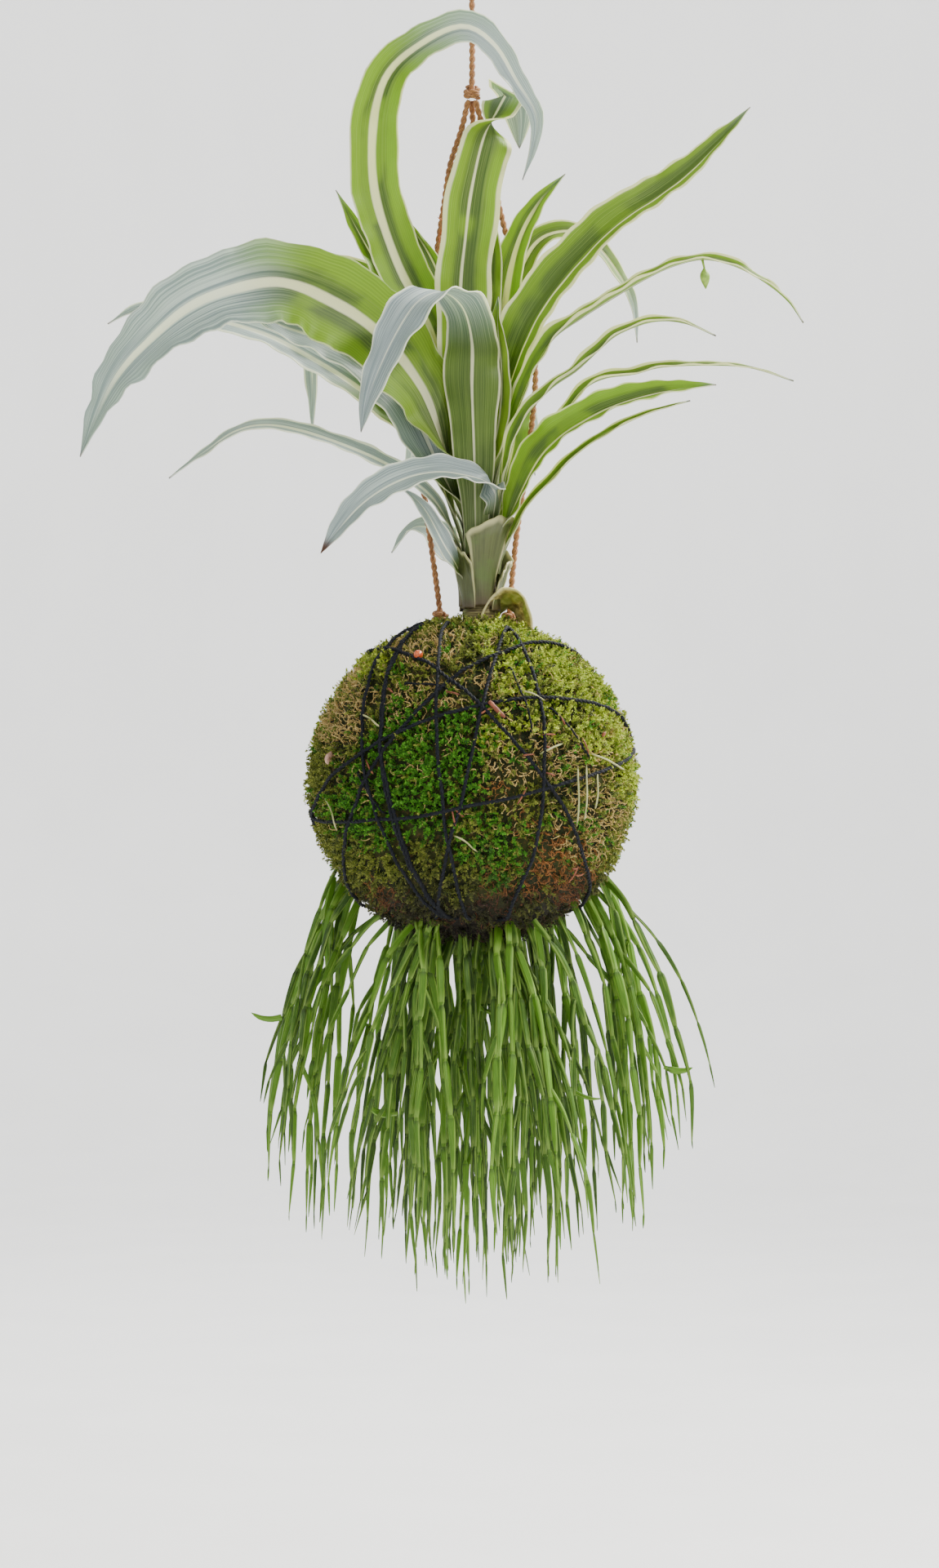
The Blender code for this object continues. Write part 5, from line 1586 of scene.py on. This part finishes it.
# Plain finishes: dark, light, how fine the grain is, and least roughness
plainColours = dict(
    berrySkin=((0.42, 0.05, 0.01), (0.8, 0.17, 0.03), 500, 0.15),
    twigBark=((0.1, 0.022, 0.01), (0.34, 0.11, 0.05), 220, 0.55),
    paleStraw=((0.33, 0.36, 0.12), (0.66, 0.64, 0.33), 160, 0.5),
    driedBit=((0.37, 0.19, 0.13), (0.72, 0.47, 0.36), 260, 0.5),
    budSkin=((0.12, 0.26, 0.02), (0.38, 0.56, 0.08), 300, 0.35),
    driedTendril=((0.3, 0.06, 0.016), (0.68, 0.24, 0.08), 260, 0.45),
    paleWall=((0.88, 0.88, 0.87), (0.93, 0.93, 0.92), 1.5, 0.75),
)


def plainFinish(name, through=None, **fixed):
    return newMaterial(name, plainPaint(*plainColours[name]), through, **fixed)


def makeBits():
    chance = random.Random("bits")
    x, z, size = bitsTable["berry"]
    place, up = surfaceFrame(x, z, 76.3)[:2]
    shape = Shape()
    rings = [place + up * size * math.cos(math.pi * k / 10) for k in range(11)]
    radii = [max(size * math.sin(math.pi * k / 10), 0.12) for k in range(11)]
    addTube(shape, rings, radii, 14)
    ready(shape.piece("berry", plainFinish("berrySkin", **{"Coat Weight": 0.3})), "dried")

    twigs = Shape()
    x, z, length, tilt = bitsTable["stick"]
    stick = lyingRoute(x, z, 76.4, math.radians(tilt), length, 7, 0.25, 1.3)
    addTube(twigs, stick, [0.85, 1.05, 0.95, 1.1, 0.95, 1.0, 0.6], 8)
    x, z, length = bitsTable["chip"]
    chip = lyingRoute(x, z, 76.4, math.atan2(0.6, 0.8), length, 5)
    addTube(twigs, chip, [0.5, 1.2, 1.4, 1.1, 0.4], 6, 0.5)
    for k in range(16):
        twig = lyingRoute(chance.uniform(-55, 55), chance.uniform(-50, 45), 75.6,
                          chance.uniform(0, math.pi), chance.uniform(4, 9), 5, 0.5)
        addTube(twigs, twig, [0.3, 0.45, 0.4, 0.4, 0.2], 5)
    ready(twigs.piece("twigs", plainFinish("twigBark")), "dried")

    straws = Shape()
    for (x1, z1), (x2, z2) in bitsTable["straws"]:
        points = []
        for k in range(9):
            t = k / 8
            x, z = x1 + (x2 - x1) * t, z1 + (z2 - z1) * t
            points.append(frontPlace(x, z, 76.3 - 2.2 * abs(2 * t - 1) ** 6)
                          + Vector((0.5 * math.sin(t * 5), 0, 0.4 * math.sin(t * 4))))
        addTube(straws, points, [0.42] * 8 + [0.15], 6)
    strawFinish = plainFinish("paleStraw", {"share": 0.2, "tint": (1.1, 1.1, 0.8)})
    ready(straws.piece("straws", strawFinish), "moss")

    dried = Shape()
    x, z, length = bitsTable["leafBit"]
    points = lyingRoute(x, z, 76.6, math.pi / 2, length, 7, 0.8, 0.9)
    addTube(dried, points, [0.3, 1.3, 1.9, 2.1, 1.7, 1.1, 0.3], 8, 0.75)
    ready(dried.piece("driedBit", plainFinish("driedBit")), "dried")

    bud = Shape()
    foot, tip = Vector((104.6, -33.0, 231.0)), Vector((105.2, -33.6, 221.5))
    points = [foot.lerp(tip, k / 8) for k in range(9)]
    addTube(bud, points, [0.5, 1.3, 2.0, 2.3, 2.2, 1.9, 1.4, 0.8, 0.2], 10)
    stalk = [Vector((103.6, -32.8, 235.6)), Vector((104.0, -33.2, 233.4)), foot]
    addTube(bud, stalk, [0.7, 0.55, 0.5], 8)
    ready(bud.piece("leafBud", plainFinish("budSkin")), "leaf")


tendrilValues = dict(top=(-9.6, 7.0, 270.0), run=(-5.4, 3.0, -24.0), wave=1.5, rate=9.0, radius=0.8)


def makeTendril():
    # dried tendril curled along a leg of the hanger
    value = tendrilValues
    finish = plainFinish("driedTendril", {"share": 0.15, "tint": (1.2, 0.9, 0.6)})
    top, run = Vector(value["top"]), Vector(value["run"])
    shape = Shape()
    points = []
    for k in range(61):
        t = k / 60
        a = t * value["rate"] * 1.6
        points.append(top + run * t + Vector((math.sin(a) * value["wave"], math.cos(a) * 0.9,
                                              0.8 * math.sin(a * 2))))
    radii = [0.35 + 0.75 * abs(math.sin(k * 0.21)) * (1 - k / 75) for k in range(61)]
    addTube(shape, points, radii, 8, 0.6, [k * 0.12 for k in range(61)])
    for k, (at, lean) in enumerate(((12, 1.0), (26, -1.0), (44, 0.8))):
        start = points[at]
        curl = [start + Vector((lean * j * 0.55, 0.25 * math.sin(j), -0.35 * j + 0.07 * j * j))
                for j in range(8)]
        addTube(shape, curl, [0.6, 0.75, 0.8, 0.7, 0.6, 0.5, 0.35, 0.15], 6, 0.5)
    ready(shape.piece("driedTendrilCurl", finish), "dried", "dried_tendril")


def paintSoil(net):
    crumb = net.noise(net.place(), 260, 5, 0.7)
    damp = net.noise(net.place(), 45, 2)
    colour = net.mix(net.step(crumb, 0.4, 0.65), (0.018, 0.012, 0.008), (0.11, 0.07, 0.04))
    return net.skin(colour, 0.75 + damp * 0.2, crumb, 1.0, 1.5)


def dressSoil():
    soil = bpy.data.objects["soil_core"]
    soil.material_slots[0].material = newMaterial("packedSoil", paintSoil)


# Order of making: what the moss needs of the thread's tables is above
bed = makeMossBed()
growMoss(bed)
makeHood()
print("moss done")
makeThread()
print("thread done")
makeBits()
makeTendril()
dressSoil()
print("small parts done")


# Floor, lights and world

stageValues = dict(floor=-1.0, flat=3.5, wall=5.0, rise=3.6, sides=96, steps=12)


def makeStage():
    value = stageValues
    finish = plainFinish("paleWall")
    sides, steps = value["sides"], value["steps"]
    bend = value["wall"] - value["flat"]
    profile = [(value["flat"] - inset, value["floor"]) for inset in (0.4, 0.2, 0.0)]
    for k in range(1, steps + 1):
        a = math.pi / 2 * k / steps
        profile.append((value["flat"] + bend * math.sin(a),
                        value["floor"] + bend * (1 - math.cos(a))))
    profile.append((value["wall"], value["floor"] + value["rise"]))
    verts, faces = [], []
    for radius, height in profile:
        for k in range(sides):
            a = 2 * math.pi * k / sides
            verts.append((radius * math.cos(a), radius * math.sin(a), height))
    for i in range(len(profile) - 1):
        for k in range(sides):
            n = (k + 1) % sides
            faces.append((i * sides + k, (i + 1) * sides + k, (i + 1) * sides + n, i * sides + n))
    faces.append(tuple(range(sides)))
    mesh = bpy.data.meshes.new("floor")
    mesh.from_pydata(verts, [], faces)
    mesh.materials.append(finish)
    mesh.shade_smooth()
    newObject("floor", mesh)


# Each light's place and size in metres, power, colour, and what it's turned to
upperBall = (0, 0, 40)
lightTable = dict(
    keyLight=((1.1, 0.75, 1.05), 0.4, 95, (1.0, 0.97, 0.9), upperBall),
    sideKey=((1.45, -0.9, 0.95), 0.5, 38, (1.0, 0.98, 0.93), upperBall),
    frontFill=((-1.3, -1.9, 0.5), 1.5, 15, (0.94, 0.97, 1.0), upperBall),
    lowFill=((0.6, -2.1, -0.8), 1.4, 7, (1.0, 1.0, 0.98), upperBall),
    wallLight=((0.0, 2.0, 1.9), 2.2, 150, (1.0, 1.0, 1.0), (0, 4300, -500)),
)
skyValues = {"Color": (0.92, 0.94, 0.96, 1), "Strength": 0.36}


def makeLights():
    for name, (place, size, power, colour, target) in lightTable.items():
        data = bpy.data.lights.new(name, "AREA")
        data.shape = "DISK"
        data.size = size
        data.energy = power
        data.color = colour
        light = newObject(name, data)
        light.location = Vector(place)
        aim = inFrame(target) - light.location
        light.rotation_euler = aim.to_track_quat("-Z", "Y").to_euler()
    world = bpy.data.worlds.new("studio")
    world.use_nodes = True
    for key, value in skyValues.items():
        world.node_tree.nodes["Background"].inputs[key].default_value = value
    bpy.context.scene.world = world


makeStage()
makeLights()
print("floor and lights done")
